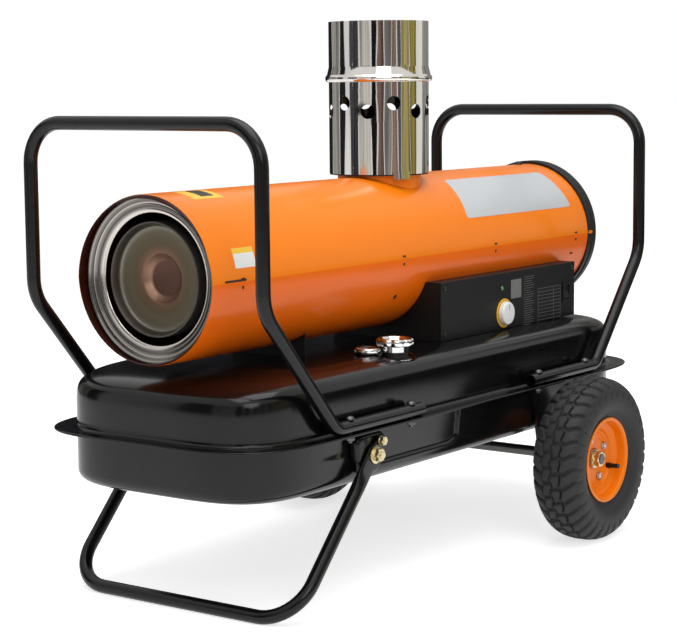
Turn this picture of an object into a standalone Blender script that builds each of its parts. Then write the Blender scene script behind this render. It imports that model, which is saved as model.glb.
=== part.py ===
"""Indirect fired space heater on a two-wheeled frame.

Frame: X runs along the casing with the warm air outlet at -X and the fan at +X,
Y runs across with the control box at -Y, Z is up and the ground is at zero.
The origin is on the ground, midway along the tank and midway between the wheels.
All lengths are metres, all angles degrees.
"""
import math

import bpy
import bmesh
from mathutils import Matrix, Vector

# Fits, cuts and facets
SEAT_GAP = 0.0003
SHAFT_GAP = 0.00025
HOLE_GAP = 0.0004
CUT_OVERRUN = 0.006
MERGE_DISTANCE = 0.00001
COARSE_SIDES = 8
ROUND_SIDES = 16
WHEEL_SIDES = 24
DRUM_SIDES = 24
BOLT_SIDES = 6
NUT_SIDES = 12
ARC_CUTTER_SIDES = 96

# Wheels, the scale of everything: a 10 inch pneumatic trolley wheel
WHEEL_DIAMETER = 0.250
TYRE_WIDTH = 0.080
TYRE_WALL = 0.007
TYRE_BEAD_RADIUS = 0.060
TYRE_BEAD_HALF_WIDTH = 0.0275
TYRE_SQUARENESS = 2.6
TYRE_FIRST_ANGLE = -45.0
TYRE_ARC_STEPS = 6
RIM_FLANGE_RADIUS = 0.065
RIM_HALF_WIDTH = 0.031
RIM_SHEET = 0.0024
RIM_WELL_RADIUS = 0.047
RIM_WELL_HALF_WIDTH = 0.009
RIM_SEAT_INNER_HALF = 0.013
RIM_DISC_OFFSET = 0.0035
HUB_TUBE_RADIUS = 0.0150
HUB_FLANGE_RADIUS = 0.042
HUB_FLANGE_SHEET = 0.0030
HUB_INNER_REACH = 0.0240
HUB_OUTER_REACH = 0.0085
RIM_BOLT_COUNT = 4
RIM_BOLT_CIRCLE_RADIUS = 0.0335
RIM_BOLT_RADIUS = 0.0030
RIM_BOLT_HEAD_RADIUS = 0.0060
RIM_BOLT_HEAD_HEIGHT = 0.0040
RIM_BOLT_FIRST_ANGLE = 27.0
WHEEL_SETBACK = 0.2765
WHEEL_STANDOFF = 0.0810

# Axle, its brackets and its nuts
AXLE_RADIUS = 0.008
AXLE_COLLAR_RADIUS = 0.0115
AXLE_COLLAR_WIDTH = 0.0100
AXLE_END_BEYOND_HUB = 0.0130
WHEEL_NUT_RADIUS = 0.0125
WHEEL_NUT_HEIGHT = 0.0090
WHEEL_WASHER_RADIUS = 0.0145
WHEEL_WASHER_THICKNESS = 0.0020
AXLE_BRACKET_SHEET = 0.0040
AXLE_BRACKET_TOP_LENGTH = 0.086
AXLE_BRACKET_FOOT_RADIUS = 0.0200
AXLE_BRACKET_FOOT_START_ANGLE = 200.0
AXLE_BRACKET_FOOT_STEPS = 8

# Fuel tank: two pressed shells with a rolled seam
TANK_HALF_LENGTH = 0.4985
TANK_HALF_WIDTH = 0.181
TANK_END_LENGTH = 0.190
TANK_END_SQUARENESS = 4.2
TANK_SHEET = 0.0015
TANK_BOTTOM_Z = 0.1615
TANK_BOTTOM_FILLET = 0.018
TANK_FILLET_STEPS = 3
TANK_SEAM_Z = 0.2370
TANK_FLANGE_WIDTH = 0.026
TANK_LIP_DROP = 0.0015
TANK_LIP_SHEET_SHARE = 1.25
TANK_SHOULDER_RISE = 0.0815
TANK_SHOULDER_SQUARENESS = 8.0
TANK_SHOULDER_ANGLES = (6, 14, 26, 40, 54)
TANK_PLATEAU_Z = 0.320
TANK_PLATEAU_SHARE = 0.725
TANK_STEP_SHARE = 0.80
TANK_STEP_SHARES = ((1.0, 0.0), (0.75, 0.22), (0.3, 0.88), (0.0, 1.0))
TANK_END_STEPS = 12

# Tube hoops that serve as handles
TUBE_RADIUS = 0.0095
TUBE_WALL = 0.0016
TUBE_SIDES = 8
HOOP_END_STANDOFF = 0.0015
HOOP_STANDOFF = 0.0170
HOOP_TOP_Z = 0.651
HOOP_KNEE_Z = 0.418
HOOP_SLANT_RUN = 0.149
HOOP_FOOT_LENGTH = 0.201
HOOP_TOP_BEND = 0.055
HOOP_KNEE_BEND = 0.060
HOOP_FOOT_BEND = 0.026
BEND_STEP_ANGLE = 30.0
FOOT_BOLT_NEAR_VERTEX = 0.032
FOOT_BOLT_NEAR_END = 0.024
FOOT_BOLT_RADIUS = 0.0030
FOOT_BOLT_HEAD_RADIUS = 0.0068
FOOT_BOLT_HEAD_HEIGHT = 0.0040
FOOT_BOLT_NUT_RADIUS = 0.0065
FOOT_BOLT_NUT_HEIGHT = 0.0050
FOOT_BOLT_TAIL = 0.0035

# Folding front leg and its brackets
LEG_PIVOT_SETBACK = 0.2365
LEG_PIVOT_Z = 0.202
LEG_BAR_SETBACK = 0.0550
LEG_STANDOFF = 0.0150
LEG_CORNER_BEND = 0.060
LEG_TAB_THICKNESS = 0.0050
LEG_TAB_HALF_WIDTH = 0.0135
LEG_TAB_BELOW_PIVOT = 0.052
LEG_TUBE_START = 0.040
LEG_LOCK_DISTANCE = 0.0215
LEG_TAB_TIP_RADIUS = 0.0068
LEG_TAB_TIP_STEPS = 6
LEG_LOCK_BACK_ANGLE = 6.0
BRACKET_SHEET = 0.0030
BRACKET_HALF_LENGTH = 0.034
BRACKET_FOOT_Z = 0.174
BRACKET_FOOT_HALF_LENGTH = 0.020
PIVOT_BOLT_RADIUS = 0.0050
PIVOT_WASHER_RADIUS = 0.0125
PIVOT_WASHER_THICKNESS = 0.0020
PIVOT_NUT_RADIUS = 0.0095
PIVOT_NUT_HEIGHT = 0.0085
PIVOT_BOLT_TAIL = 0.0030
LOCK_BOLT_RADIUS = 0.0035
LOCK_WASHER_RADIUS = 0.0068
LOCK_WASHER_THICKNESS = 0.0015
LOCK_NUT_RADIUS = 0.0066
LOCK_NUT_HEIGHT = 0.0060
LOCK_BOLT_TAIL = 0.0020

# Casing: two half shells that meet in a slight point at each side
CASING_FRONT_X = -0.4986
CASING_BACK_X = 0.4767
CASING_AXIS_Z = 0.4475
CASING_HALF_HEIGHT = 0.1125
CASING_HALF_WIDTH = 0.116
CASING_SHEET = 0.0012
CASING_ARC_STEPS = 24

# Outlet, heat exchanger and burner inside the casing
OUTLET_SETBACK = 0.0110
OUTLET_RIM_RADIUS = 0.0880
OUTLET_DEPTH = 0.0090
OUTLET_STEP_SHARE = 0.45
OUTLET_SHEET = 0.0012
OUTLET_SKIRT = 0.0200
DRUM_RADIUS = 0.0765
DRUM_SHEET = 0.0015
DRUM_FRONT_SETBACK = 0.0190
DRUM_RIM_DEPTH = 0.0135
DRUM_RIM_WIDTH = 0.0070
DRUM_DISH_DEPTH = 0.0025
DRUM_BOSS_RADIUS = 0.0336
DRUM_BOSS_INNER_RADIUS = 0.0250
DRUM_BOSS_DEPTH = 0.0110
DRUM_BACK_X = 0.2500
CHAMBER_RADIUS = 0.0560
CHAMBER_FRONT_X = -0.3900
CHAMBER_DOME = 0.0200
SUPPORT_X = -0.3000
SUPPORT_THICKNESS = 0.0025
SUPPORT_RING_WIDTH = 0.0060
SUPPORT_ARMS = 4
PLATE_THICKNESS = 0.0025
PLATE_RIM_WIDTH = 0.0080
PLATE_ARMS = 8
BLAST_TUBE_RADIUS = 0.0350
BLAST_TUBE_SHEET = 0.0020
BLAST_TUBE_IN = 0.0450
BLAST_TUBE_OUT = 0.0150
BLAST_NOZZLE_RADIUS = 0.0120
BLAST_FLANGE_RADIUS = 0.0420
BLAST_FLANGE_SHEET = 0.0030

# Flue
FLUE_X = 0.038
FLUE_RADIUS = 0.0750
FLUE_SHEET = 0.0012
FLUE_TOP_Z = 0.790
FLUE_BEAD_SHARE = 0.62783
FLUE_BEAD_HEIGHT = 0.0110
FLUE_BEAD_BULGE = 0.0055
FLUE_HOLE_COUNT = 12
FLUE_HOLE_RADIUS_SHARE = 0.046522
FLUE_HOLE_UPPER_SHARE = 0.46611
FLUE_HOLE_LOWER_SHARE = 0.41072
FLUE_HOLE_FIRST_ANGLE = -8.0
SPIGOT_RADIUS = 0.0600
SPIGOT_SHEET = 0.0015
COLLAR_WIDTH = 0.0144
COLLAR_NECK_WIDTH = 0.0024
COLLAR_BRIM_SHEET = 0.0015
COLLAR_TOP_RISE = 0.0040
COLLAR_SKIRT = 0.0450

# Fan, motor and pump
MOTOR_RADIUS = 0.0450
MOTOR_FRONT_X = 0.3100
MOTOR_LENGTH = 0.0900
MOTOR_NOSE_RADIUS = 0.0200
MOTOR_NOSE_LENGTH = 0.0080
MOTOR_CHAMFER = 0.0060
SHAFT_RADIUS = 0.0050
PUMP_RADIUS = 0.0260
PUMP_LENGTH = 0.0300
PUMP_PORT_RADIUS = 0.0060
PUMP_PORT_LENGTH = 0.0140
MOTOR_FOOT_SHEET = 0.0040
MOTOR_FOOT_HALF_WIDTH = 0.0420
MOTOR_FOOT_ARC_STEPS = 10
FAN_GAP_TO_MOTOR = 0.0100
FAN_HUB_RADIUS = 0.0220
FAN_HUB_LENGTH = 0.0260
FAN_TIP_RADIUS = 0.0980
FAN_BLADE_COUNT = 5
FAN_BLADE_SHEET = 0.0018
FAN_BLADE_CHORD = 0.0460
FAN_BLADE_ROOT_SHARE = 0.55
FAN_PITCH_ROOT = 38.0
FAN_PITCH_TIP = 22.0
FAN_BLADE_STATIONS = 4
GUARD_RADIUS = 0.1170
GUARD_DEPTH = 0.0300
GUARD_LAP = 0.0060
GUARD_SHEET = 0.0016
GUARD_HUB_RADIUS = 0.0180
GUARD_RINGS = 2
GUARD_WIRE_WIDTH = 0.0040
GUARD_SPOKES = 4
GUARD_SECTORS = 20
GUARD_SPOKE_SHARE = 0.07
GUARD_EDGE = 0.0060

# Supports of the casing
SADDLE_X = -0.2400
SADDLE_HALF_WIDTH = 0.0650
SADDLE_SHEET = 0.0030
SADDLE_ARC_STEPS = 14

# Control box
BOX_FRONT_X = 0.0
BOX_BACK_X = 0.398
BOX_NEAR_Y = -0.135
BOX_FAR_Y = 0.060
BOX_TOP_Z = 0.407
BOX_SHEET = 0.0015
PANEL_SHEET = 0.0015
KNOB_X = 0.177
KNOB_Z = 0.345
KNOB_RADIUS = 0.0180
KNOB_HEIGHT = 0.0085
KNOB_TAPER = 0.0012
KNOB_SHAFT_RADIUS = 0.0030
KNOB_SHAFT_LENGTH = 0.0120
DIAL_RADIUS = 0.0225
DIAL_BORE_RADIUS = 0.0070
DIAL_SHEET = 0.0010
SWITCH_X = 0.3700
SWITCH_Z = 0.3600
SWITCH_WIDTH = 0.0190
SWITCH_HEIGHT = 0.0260
SWITCH_RIM = 0.0022
SWITCH_RIM_PROUD = 0.0018
SWITCH_DEPTH = 0.0140
SWITCH_WALL = 0.0012
ROCKER_PROUD = 0.0030
ROCKER_TILT = 9.0
ROCKER_DEPTH = 0.0060
ROCKER_SIDE_GAP = 0.0004
LAMP_X = 0.1700
LAMP_Z = 0.3840
LAMP_RADIUS = 0.0035
LAMP_PROUD = 0.0022
LAMP_TAIL = 0.0100
LAMP_RIM = 0.0010
BOARD_START_X = 0.0500
BOARD_LENGTH = 0.0800
BOARD_HEIGHT = 0.0450
BOARD_SHEET = 0.0016
BOARD_STANDOFF = 0.0080
BOARD_PEG_RADIUS = 0.0025
BOARD_PEG_INSET = 0.0060
BOARD_PEG_RISE_SHARE = 1.5
BOARD_BLOCK_SHARE = 0.35
BOARD_BLOCK_HEIGHT = 0.0140
GLAND_Z = 0.3450
GLAND_Y = -0.0900
GLAND_RADIUS = 0.0090
GLAND_BORE_RADIUS = 0.0045
GLAND_LENGTH = 0.0160
GLAND_FLANGE_RADIUS = 0.0115
GLAND_FLANGE_SHEET = 0.0025
GLAND_TAIL = 0.0080
GLAND_MOUTH_SHARE = 1.3

# Filler and fuel gauge
FILLER_X = -0.131
FILLER_INSET = 0.0390
FILLER_SEAT_Z = 0.3105
FILLER_BOSS_RADIUS = 0.0270
FILLER_BOSS_DEPTH = 0.0200
FILLER_NECK_RADIUS = 0.0170
FILLER_NECK_WALL = 0.0020
FILLER_NECK_DEPTH = 0.0150
FILLER_NECK_RISE = 0.0200
FILLER_FLANGE_RADIUS = 0.0235
FILLER_FLANGE_SHEET = 0.0030
CAP_RADIUS = 0.0270
CAP_HEIGHT = 0.0110
CAP_SKIRT = 0.0080
CAP_SKIRT_RADIUS = 0.0195
CAP_WALL = 0.0016
CAP_LOBES = 8
CAP_LOBE_DEPTH = 0.0016
CAP_LOBE_STEPS = 4
GAUGE_X = -0.161
GAUGE_INSET = 0.0650
GAUGE_RADIUS = 0.0192
GAUGE_HEIGHT = 0.0090
GAUGE_STEM_RADIUS = 0.0110
GAUGE_STEM_DEPTH = 0.0180
GAUGE_FACE_RADIUS = 0.0160
GAUGE_FACE_DEPTH = 0.0030
GAUGE_PIVOT_RADIUS = 0.0012
NEEDLE_LENGTH = 0.0120
NEEDLE_HALF_WIDTH = 0.0011
NEEDLE_SHEET = 0.0008
NEEDLE_HUB_RADIUS = 0.0026
NEEDLE_REST_ANGLE = 150.0

# Places that follow from the sizes above
WHEEL_RADIUS = WHEEL_DIAMETER / 2
WHEEL_X = TANK_HALF_LENGTH - WHEEL_SETBACK
WHEEL_Y = TANK_HALF_WIDTH + WHEEL_STANDOFF
HOOP_X = TANK_HALF_LENGTH + HOOP_END_STANDOFF
HOOP_HALF_WIDTH = TANK_HALF_WIDTH + HOOP_STANDOFF
LEG_PIVOT_X = LEG_PIVOT_SETBACK - TANK_HALF_LENGTH
LEG_BAR_X = LEG_BAR_SETBACK - TANK_HALF_LENGTH
LEG_HALF_WIDTH = TANK_HALF_WIDTH + LEG_STANDOFF
FILLER_Y = FILLER_INSET - TANK_HALF_WIDTH
GAUGE_Y = GAUGE_INSET - TANK_HALF_WIDTH
PANEL_Y = BOX_NEAR_Y + PANEL_SHEET
BOX_BOTTOM_Z = TANK_PLATEAU_Z + SEAT_GAP
FLANGE_TOP_Z = TANK_SEAM_Z + TANK_SHEET
FLANGE_BOTTOM_Z = TANK_SEAM_Z - TANK_SHEET - SEAT_GAP
FOOT_Z = FLANGE_TOP_Z + SEAT_GAP + TUBE_RADIUS
ARC_RADIUS = (CASING_HALF_HEIGHT ** 2 + CASING_HALF_WIDTH ** 2) / (2 * CASING_HALF_HEIGHT)
ARC_DROP = ARC_RADIUS - CASING_HALF_HEIGHT
CASING_INNER_HALF_HEIGHT = CASING_HALF_HEIGHT - CASING_SHEET
BRACKET_INNER_Y = TANK_HALF_WIDTH + SEAT_GAP
TAB_INNER_Y = LEG_HALF_WIDTH - LEG_TAB_THICKNESS / 2
TAB_OUTER_Y = LEG_HALF_WIDTH + LEG_TAB_THICKNESS / 2
BRACKET_OUTER_Y = TAB_INNER_Y - SEAT_GAP
DRUM_FRONT_X = CASING_FRONT_X + DRUM_FRONT_SETBACK
PLATE_X = DRUM_BACK_X + SEAT_GAP
COLLAR_TOP_Z = CASING_AXIS_Z + CASING_HALF_HEIGHT + COLLAR_TOP_RISE
FLUE_LOW_Z = COLLAR_TOP_Z + SEAT_GAP
FLUE_HEIGHT = FLUE_TOP_Z - FLUE_LOW_Z
FLUE_BEAD_Z = FLUE_LOW_Z + FLUE_HEIGHT * FLUE_BEAD_SHARE
FLUE_HOLE_RADIUS = FLUE_HEIGHT * FLUE_HOLE_RADIUS_SHARE
FLUE_HOLE_UPPER_Z = FLUE_LOW_Z + FLUE_HEIGHT * FLUE_HOLE_UPPER_SHARE
FLUE_HOLE_LOWER_Z = FLUE_LOW_Z + FLUE_HEIGHT * FLUE_HOLE_LOWER_SHARE
MOTOR_BACK_X = MOTOR_FRONT_X + MOTOR_LENGTH
FAN_X = MOTOR_BACK_X + MOTOR_NOSE_LENGTH + FAN_GAP_TO_MOTOR
NEAR_AND_FAR = (("near", -1), ("far", 1))

for old in list(bpy.data.objects):
    bpy.data.objects.remove(old)


# Materials

def finish(name, colour, metallic, roughness):
    """A Principled material of one colour."""
    made = bpy.data.materials.new(name)
    made.use_nodes = True
    shader = made.node_tree.nodes["Principled BSDF"]
    shader.inputs["Base Color"].default_value = (*colour, 1)
    shader.inputs["Metallic"].default_value = metallic
    shader.inputs["Roughness"].default_value = roughness
    return made


ORANGE = finish("orange_enamel", (0.83, 0.23, 0.02), 0.0, 0.25)
BLACK = finish("black_gloss_enamel", (0.012, 0.012, 0.013), 0.0, 0.22)
SATIN_BLACK = finish("black_satin_enamel", (0.02, 0.02, 0.022), 0.0, 0.45)
STAINLESS = finish("polished_stainless", (0.62, 0.60, 0.56), 1.0, 0.15)
STEEL = finish("bare_steel", (0.55, 0.53, 0.50), 1.0, 0.38)
HEATED_STEEL = finish("heat_tinted_steel", (0.33, 0.29, 0.22), 1.0, 0.42)
ZINC = finish("yellow_zinc", (0.68, 0.60, 0.38), 1.0, 0.35)
BRIGHT_ZINC = finish("bright_zinc", (0.62, 0.63, 0.64), 1.0, 0.3)
RUBBER = finish("tyre_rubber", (0.03, 0.03, 0.032), 0.0, 0.8)
CHROME = finish("chrome", (0.75, 0.75, 0.76), 1.0, 0.1)
WHITE_PLASTIC = finish("white_plastic", (0.82, 0.82, 0.80), 0.0, 0.4)
YELLOW_PLASTIC = finish("yellow_plastic", (0.85, 0.55, 0.05), 0.0, 0.5)
BLACK_PLASTIC = finish("black_plastic", (0.02, 0.02, 0.02), 0.0, 0.4)
GREEN_LENS = finish("green_lens", (0.03, 0.35, 0.08), 0.0, 0.2)
BOARD_GREEN = finish("board_green", (0.04, 0.22, 0.09), 0.0, 0.5)
CAST_METAL = finish("cast_aluminium", (0.50, 0.50, 0.51), 1.0, 0.5)
RED_PLASTIC = finish("red_plastic", (0.55, 0.03, 0.02), 0.0, 0.4)


# Shape helpers

def mesh_of(rings, closed=False, capped=True, wrap=True):
    """Skin of quads between rings of equally many points.

    closed joins the last ring to the first, capped fills the end rings and
    wrap closes each ring on itself.
    """
    count = len(rings[0])
    points = [tuple(point) for ring in rings for point in ring]
    faces = []
    last_ring = len(rings) if closed else len(rings) - 1
    last_point = count if wrap else count - 1
    for i in range(last_ring):
        for j in range(last_point):
            a = i * count + j
            b = i * count + (j + 1) % count
            c = ((i + 1) % len(rings)) * count + (j + 1) % count
            d = ((i + 1) % len(rings)) * count + j
            faces.append((a, b, c, d))
    if capped and not closed:
        faces.append(tuple(reversed(range(count))))
        start = (len(rings) - 1) * count
        faces.append(tuple(range(start, start + count)))
    mesh = bpy.data.meshes.new("form")
    mesh.from_pydata(points, [], faces)
    return mesh


def outward(mesh):
    """Merge touching points and turn all faces of a closed form outward."""
    work = bmesh.new()
    work.from_mesh(mesh)
    bmesh.ops.remove_doubles(work, verts=work.verts, dist=MERGE_DISTANCE)
    bmesh.ops.recalc_face_normals(work, faces=work.faces)
    work.to_mesh(mesh)
    work.free()
    return mesh


def turned(profile, sides=ROUND_SIDES, closed=True):
    """Turn (radius, height) points round Z; closed means the profile is a loop."""
    rings = []
    for radius, height in profile:
        ring = []
        for k in range(sides):
            angle = 2 * math.pi * k / sides
            ring.append((radius * math.cos(angle), radius * math.sin(angle), height))
        rings.append(ring)
    return outward(mesh_of(rings, closed=closed))


def extruded(outline, low, high):
    """Raise a flat (x, y) outline from z = low to z = high."""
    rings = [[(x, y, low) for x, y in outline], [(x, y, high) for x, y in outline]]
    return outward(mesh_of(rings))


def block(low, high):
    """Rectangular block between two corners."""
    outline = [(low[0], low[1]), (high[0], low[1]), (high[0], high[1]), (low[0], high[1])]
    return extruded(outline, low[2], high[2])


def drum(radius, low, high, sides=ROUND_SIDES):
    """Plain round bar along Z."""
    return turned([(radius, low), (radius, high)], sides, closed=False)


def ring_bar(inner, outer, low, high, sides=ROUND_SIDES):
    """Tube along Z."""
    return turned([(outer, low), (outer, high), (inner, high), (inner, low)], sides)


def joined(meshes):
    """Several forms in one mesh, not yet fused."""
    work = bmesh.new()
    for mesh in meshes:
        work.from_mesh(mesh)
    together = bpy.data.meshes.new("forms")
    work.to_mesh(together)
    work.free()
    return together


def moved(mesh, offset=(0, 0, 0), turn=None):
    """Copy of a form, turned and then moved."""
    copy = mesh.copy()
    matrix = Matrix.Translation(Vector(offset))
    if turn is not None:
        matrix = matrix @ turn
    copy.transform(matrix)
    return copy


def about(axis, degrees):
    """Rotation about one axis through the origin."""
    return Matrix.Rotation(math.radians(degrees), 4, axis)


Z_TO_X = about("Y", 90)
Z_TO_NEAR = about("X", 90)
Z_TO_FAR = about("X", -90)


def place(name, mesh, material, location=(0, 0, 0), turn=None, smooth_angle=35):
    """Put a form in the scene as a named piece."""
    piece = bpy.data.objects.new(name, mesh)
    mesh.materials.clear()
    mesh.materials.append(material)
    mesh.shade_smooth()
    mesh.set_sharp_from_angle(angle=math.radians(smooth_angle))
    bpy.context.scene.collection.objects.link(piece)
    matrix = Matrix.Translation(Vector(location))
    if turn is not None:
        matrix = matrix @ turn
    piece.matrix_world = matrix
    return piece


def tool(mesh, piece):
    """Hidden helper object for a Boolean, in the frame of the whole heater."""
    helper = bpy.data.objects.new("cut_for_" + piece.name, mesh)
    bpy.context.scene.collection.objects.link(helper)
    helper.hide_render = True
    helper.display_type = "WIRE"
    return helper


def boolean(piece, mesh, operation):
    """Add one live Boolean with a hidden helper."""
    step = piece.modifiers.new(operation.lower(), "BOOLEAN")
    step.operation = operation
    step.solver = "EXACT"
    step.object = tool(mesh, piece)


def cut(piece, *meshes):
    """Cut forms out of a piece."""
    for mesh in meshes:
        boolean(piece, mesh, "DIFFERENCE")


def fuse(piece, *meshes):
    """Fuse forms onto a piece."""
    for mesh in meshes:
        boolean(piece, mesh, "UNION")


def walled(piece, thickness):
    """Give an open skin its sheet thickness on the inner side."""
    step = piece.modifiers.new("sheet", "SOLIDIFY")
    step.thickness = thickness
    step.offset = -1
    step.use_even_offset = True


def arc_points(centre, radius, start, end, steps):
    """Points on a circle in a plane, angles in degrees."""
    points = []
    for k in range(steps + 1):
        angle = math.radians(start + (end - start) * k / steps)
        points.append((centre[0] + radius * math.cos(angle),
                       centre[1] + radius * math.sin(angle)))
    return points


def rounded_route(corners, bends):
    """Route through corners, each rounded by an arc of its own bend radius."""
    route = [Vector(corners[0])]
    for i in range(1, len(corners) - 1):
        before, corner, after = (Vector(corners[k]) for k in (i - 1, i, i + 1))
        into = (corner - before).normalized()
        out = (after - corner).normalized()
        turn = into.angle(out)
        setback = bends[i - 1] * math.tan(turn / 2)
        start = corner - into * setback
        side = (out - into * into.dot(out)).normalized()
        centre = start + side * bends[i - 1]
        steps = max(2, round(math.degrees(turn) / BEND_STEP_ANGLE))
        for k in range(steps + 1):
            angle = turn * k / steps
            route.append(centre + (into * math.sin(angle) - side * math.cos(angle)) * bends[i - 1])
    route.append(Vector(corners[-1]))
    return route


def pipe_skin(route, radius, sides):
    """Open skin of a tube along a route, its ring carried along without twist."""
    tangents = []
    for i in range(len(route)):
        before = route[max(i - 1, 0)]
        after = route[min(i + 1, len(route) - 1)]
        tangents.append((after - before).normalized())
    across = tangents[0].orthogonal().normalized()
    rings = []
    for i, point in enumerate(route):
        if i > 0:
            across = tangents[i - 1].rotation_difference(tangents[i]) @ across
            across = (across - tangents[i] * across.dot(tangents[i])).normalized()
        other = tangents[i].cross(across)
        ring = []
        for k in range(sides):
            angle = 2 * math.pi * k / sides
            ring.append(point + (across * math.cos(angle) + other * math.sin(angle)) * radius)
        rings.append(ring)
    return rings


def hollow_pipe(route, radius, wall, sides=TUBE_SIDES):
    """Closed wall of an open-ended tube along a route."""
    outer = pipe_skin(route, radius, sides)
    inner = pipe_skin(route, radius - wall, sides)
    return outward(mesh_of(outer + inner[::-1], closed=True))


def fastener(profile, closed=False):
    """Turned form whose rings may be hexagons: (radius, height, True for a hexagon).

    A hexagon's radius runs to its corners; its ring has a point at each corner
    and one halfway along each flat, so that it joins up with round rings.
    """
    rings = []
    for radius, height, is_hexagon in profile:
        ring = []
        for k in range(NUT_SIDES):
            angle = 2 * math.pi * k / NUT_SIDES
            reach = radius
            if is_hexagon and k % 2:
                reach = radius * math.cos(math.pi / NUT_SIDES * 2)
            ring.append((reach * math.cos(angle), reach * math.sin(angle), height))
        rings.append(ring)
    return outward(mesh_of(rings, closed=closed))


# Wheels

def tyre_section():
    """Closed C of the tyre: rounded-square outer skin, bead feet, inner skin."""
    belly = (WHEEL_RADIUS + RIM_FLANGE_RADIUS) / 2
    rise = WHEEL_RADIUS - belly
    half = TYRE_WIDTH / 2
    power = 2 / TYRE_SQUARENESS
    first = TYRE_FIRST_ANGLE
    steps = TYRE_ARC_STEPS

    def skin(rise_now, half_now):
        points = []
        for k in range(steps + 1):
            angle = math.radians(first + (180 - 2 * first) * k / steps)
            c, s = math.cos(angle), math.sin(angle)
            points.append((belly + math.copysign(abs(s) ** power, s) * rise_now,
                           math.copysign(abs(c) ** power, c) * half_now))
        return points

    outer = skin(rise, half)
    inner = skin(rise - TYRE_WALL, half - TYRE_WALL)
    bead_in = TYRE_BEAD_HALF_WIDTH - TYRE_WALL
    lip = RIM_FLANGE_RADIUS + SEAT_GAP
    bead = TYRE_BEAD_HALF_WIDTH
    foot = [(lip, bead), (TYRE_BEAD_RADIUS, bead), (TYRE_BEAD_RADIUS, bead_in)]
    low_foot = [(radius, -height) for radius, height in foot]
    return outer + low_foot + inner[::-1] + foot[::-1]


def rim_section():
    """Closed loop of the pressed rim and its disc, outboard side at +height."""
    seat = TYRE_BEAD_RADIUS - SEAT_GAP
    inside = seat - RIM_SHEET
    well = RIM_WELL_RADIUS
    well_inside = well - RIM_SHEET
    disc_low = RIM_DISC_OFFSET
    disc_high = RIM_DISC_OFFSET + RIM_SHEET
    bore = HUB_TUBE_RADIUS + SEAT_GAP
    lip = TYRE_BEAD_HALF_WIDTH + SEAT_GAP
    tyre_side = [(RIM_FLANGE_RADIUS, RIM_HALF_WIDTH), (RIM_FLANGE_RADIUS, lip),
                 (seat, lip), (seat, RIM_SEAT_INNER_HALF), (well, RIM_WELL_HALF_WIDTH)]
    tyre_side += [(radius, -height) for radius, height in tyre_side[::-1]]
    inboard = [(inside, -RIM_HALF_WIDTH), (inside, -RIM_SEAT_INNER_HALF - RIM_SHEET),
               (well_inside, -RIM_WELL_HALF_WIDTH - RIM_SHEET / 2), (well_inside, disc_low)]
    disc = [(bore, disc_low), (bore, disc_high)]
    outboard = [(well_inside - RIM_SHEET, disc_high), (well_inside, RIM_WELL_HALF_WIDTH + RIM_SHEET / 2),
                (inside, RIM_SEAT_INNER_HALF + RIM_SHEET), (inside, RIM_HALF_WIDTH)]
    return tyre_side + inboard + disc + outboard


def rim_bolt_spots():
    """Angles of the rim bolts round the hub."""
    for k in range(RIM_BOLT_COUNT):
        angle = math.radians(RIM_BOLT_FIRST_ANGLE + 360 * k / RIM_BOLT_COUNT)
        yield RIM_BOLT_CIRCLE_RADIUS * math.cos(angle), RIM_BOLT_CIRCLE_RADIUS * math.sin(angle)


def make_wheel(side, sign):
    """Tyre, rim and hub of one wheel, turning about Y."""
    location = (WHEEL_X, sign * WHEEL_Y, WHEEL_RADIUS)
    facing = Z_TO_NEAR if sign < 0 else Z_TO_FAR
    place("tyre_" + side, turned(tyre_section(), WHEEL_SIDES), RUBBER, location, facing)
    rim = place("rim_" + side, turned(rim_section(), WHEEL_SIDES), ORANGE, location, facing)
    here = Matrix.Translation(Vector(location)) @ facing
    disc_high = RIM_DISC_OFFSET + RIM_SHEET
    holes = [moved(drum(RIM_BOLT_RADIUS + HOLE_GAP, RIM_DISC_OFFSET - CUT_OVERRUN,
                        disc_high + CUT_OVERRUN, COARSE_SIDES), (x, y, 0)) for x, y in rim_bolt_spots()]
    cutter = joined(holes)
    cutter.transform(here)
    cut(rim, cutter)
    bore = AXLE_RADIUS + SHAFT_GAP
    flange_top = RIM_DISC_OFFSET - SEAT_GAP
    flange_low = flange_top - HUB_FLANGE_SHEET
    section = [(bore, -HUB_INNER_REACH), (HUB_TUBE_RADIUS, -HUB_INNER_REACH),
               (HUB_TUBE_RADIUS, flange_low), (HUB_FLANGE_RADIUS, flange_low),
               (HUB_FLANGE_RADIUS, flange_top), (HUB_TUBE_RADIUS, flange_top),
               (HUB_TUBE_RADIUS, HUB_OUTER_REACH), (bore, HUB_OUTER_REACH)]
    hub = place("hub_" + side, turned(section), BRIGHT_ZINC, location, facing)
    head_low = disc_high + SEAT_GAP
    bolts = []
    for x, y in rim_bolt_spots():
        bolt = turned([(RIM_BOLT_RADIUS, flange_low - RIM_BOLT_HEAD_HEIGHT), (RIM_BOLT_RADIUS, head_low),
                       (RIM_BOLT_HEAD_RADIUS, head_low),
                       (RIM_BOLT_HEAD_RADIUS, head_low + RIM_BOLT_HEAD_HEIGHT)], BOLT_SIDES, closed=False)
        bolts.append(moved(bolt, (x, y, 0)))
    studs = joined(bolts)
    studs.transform(here)
    fuse(hub, studs)


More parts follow.
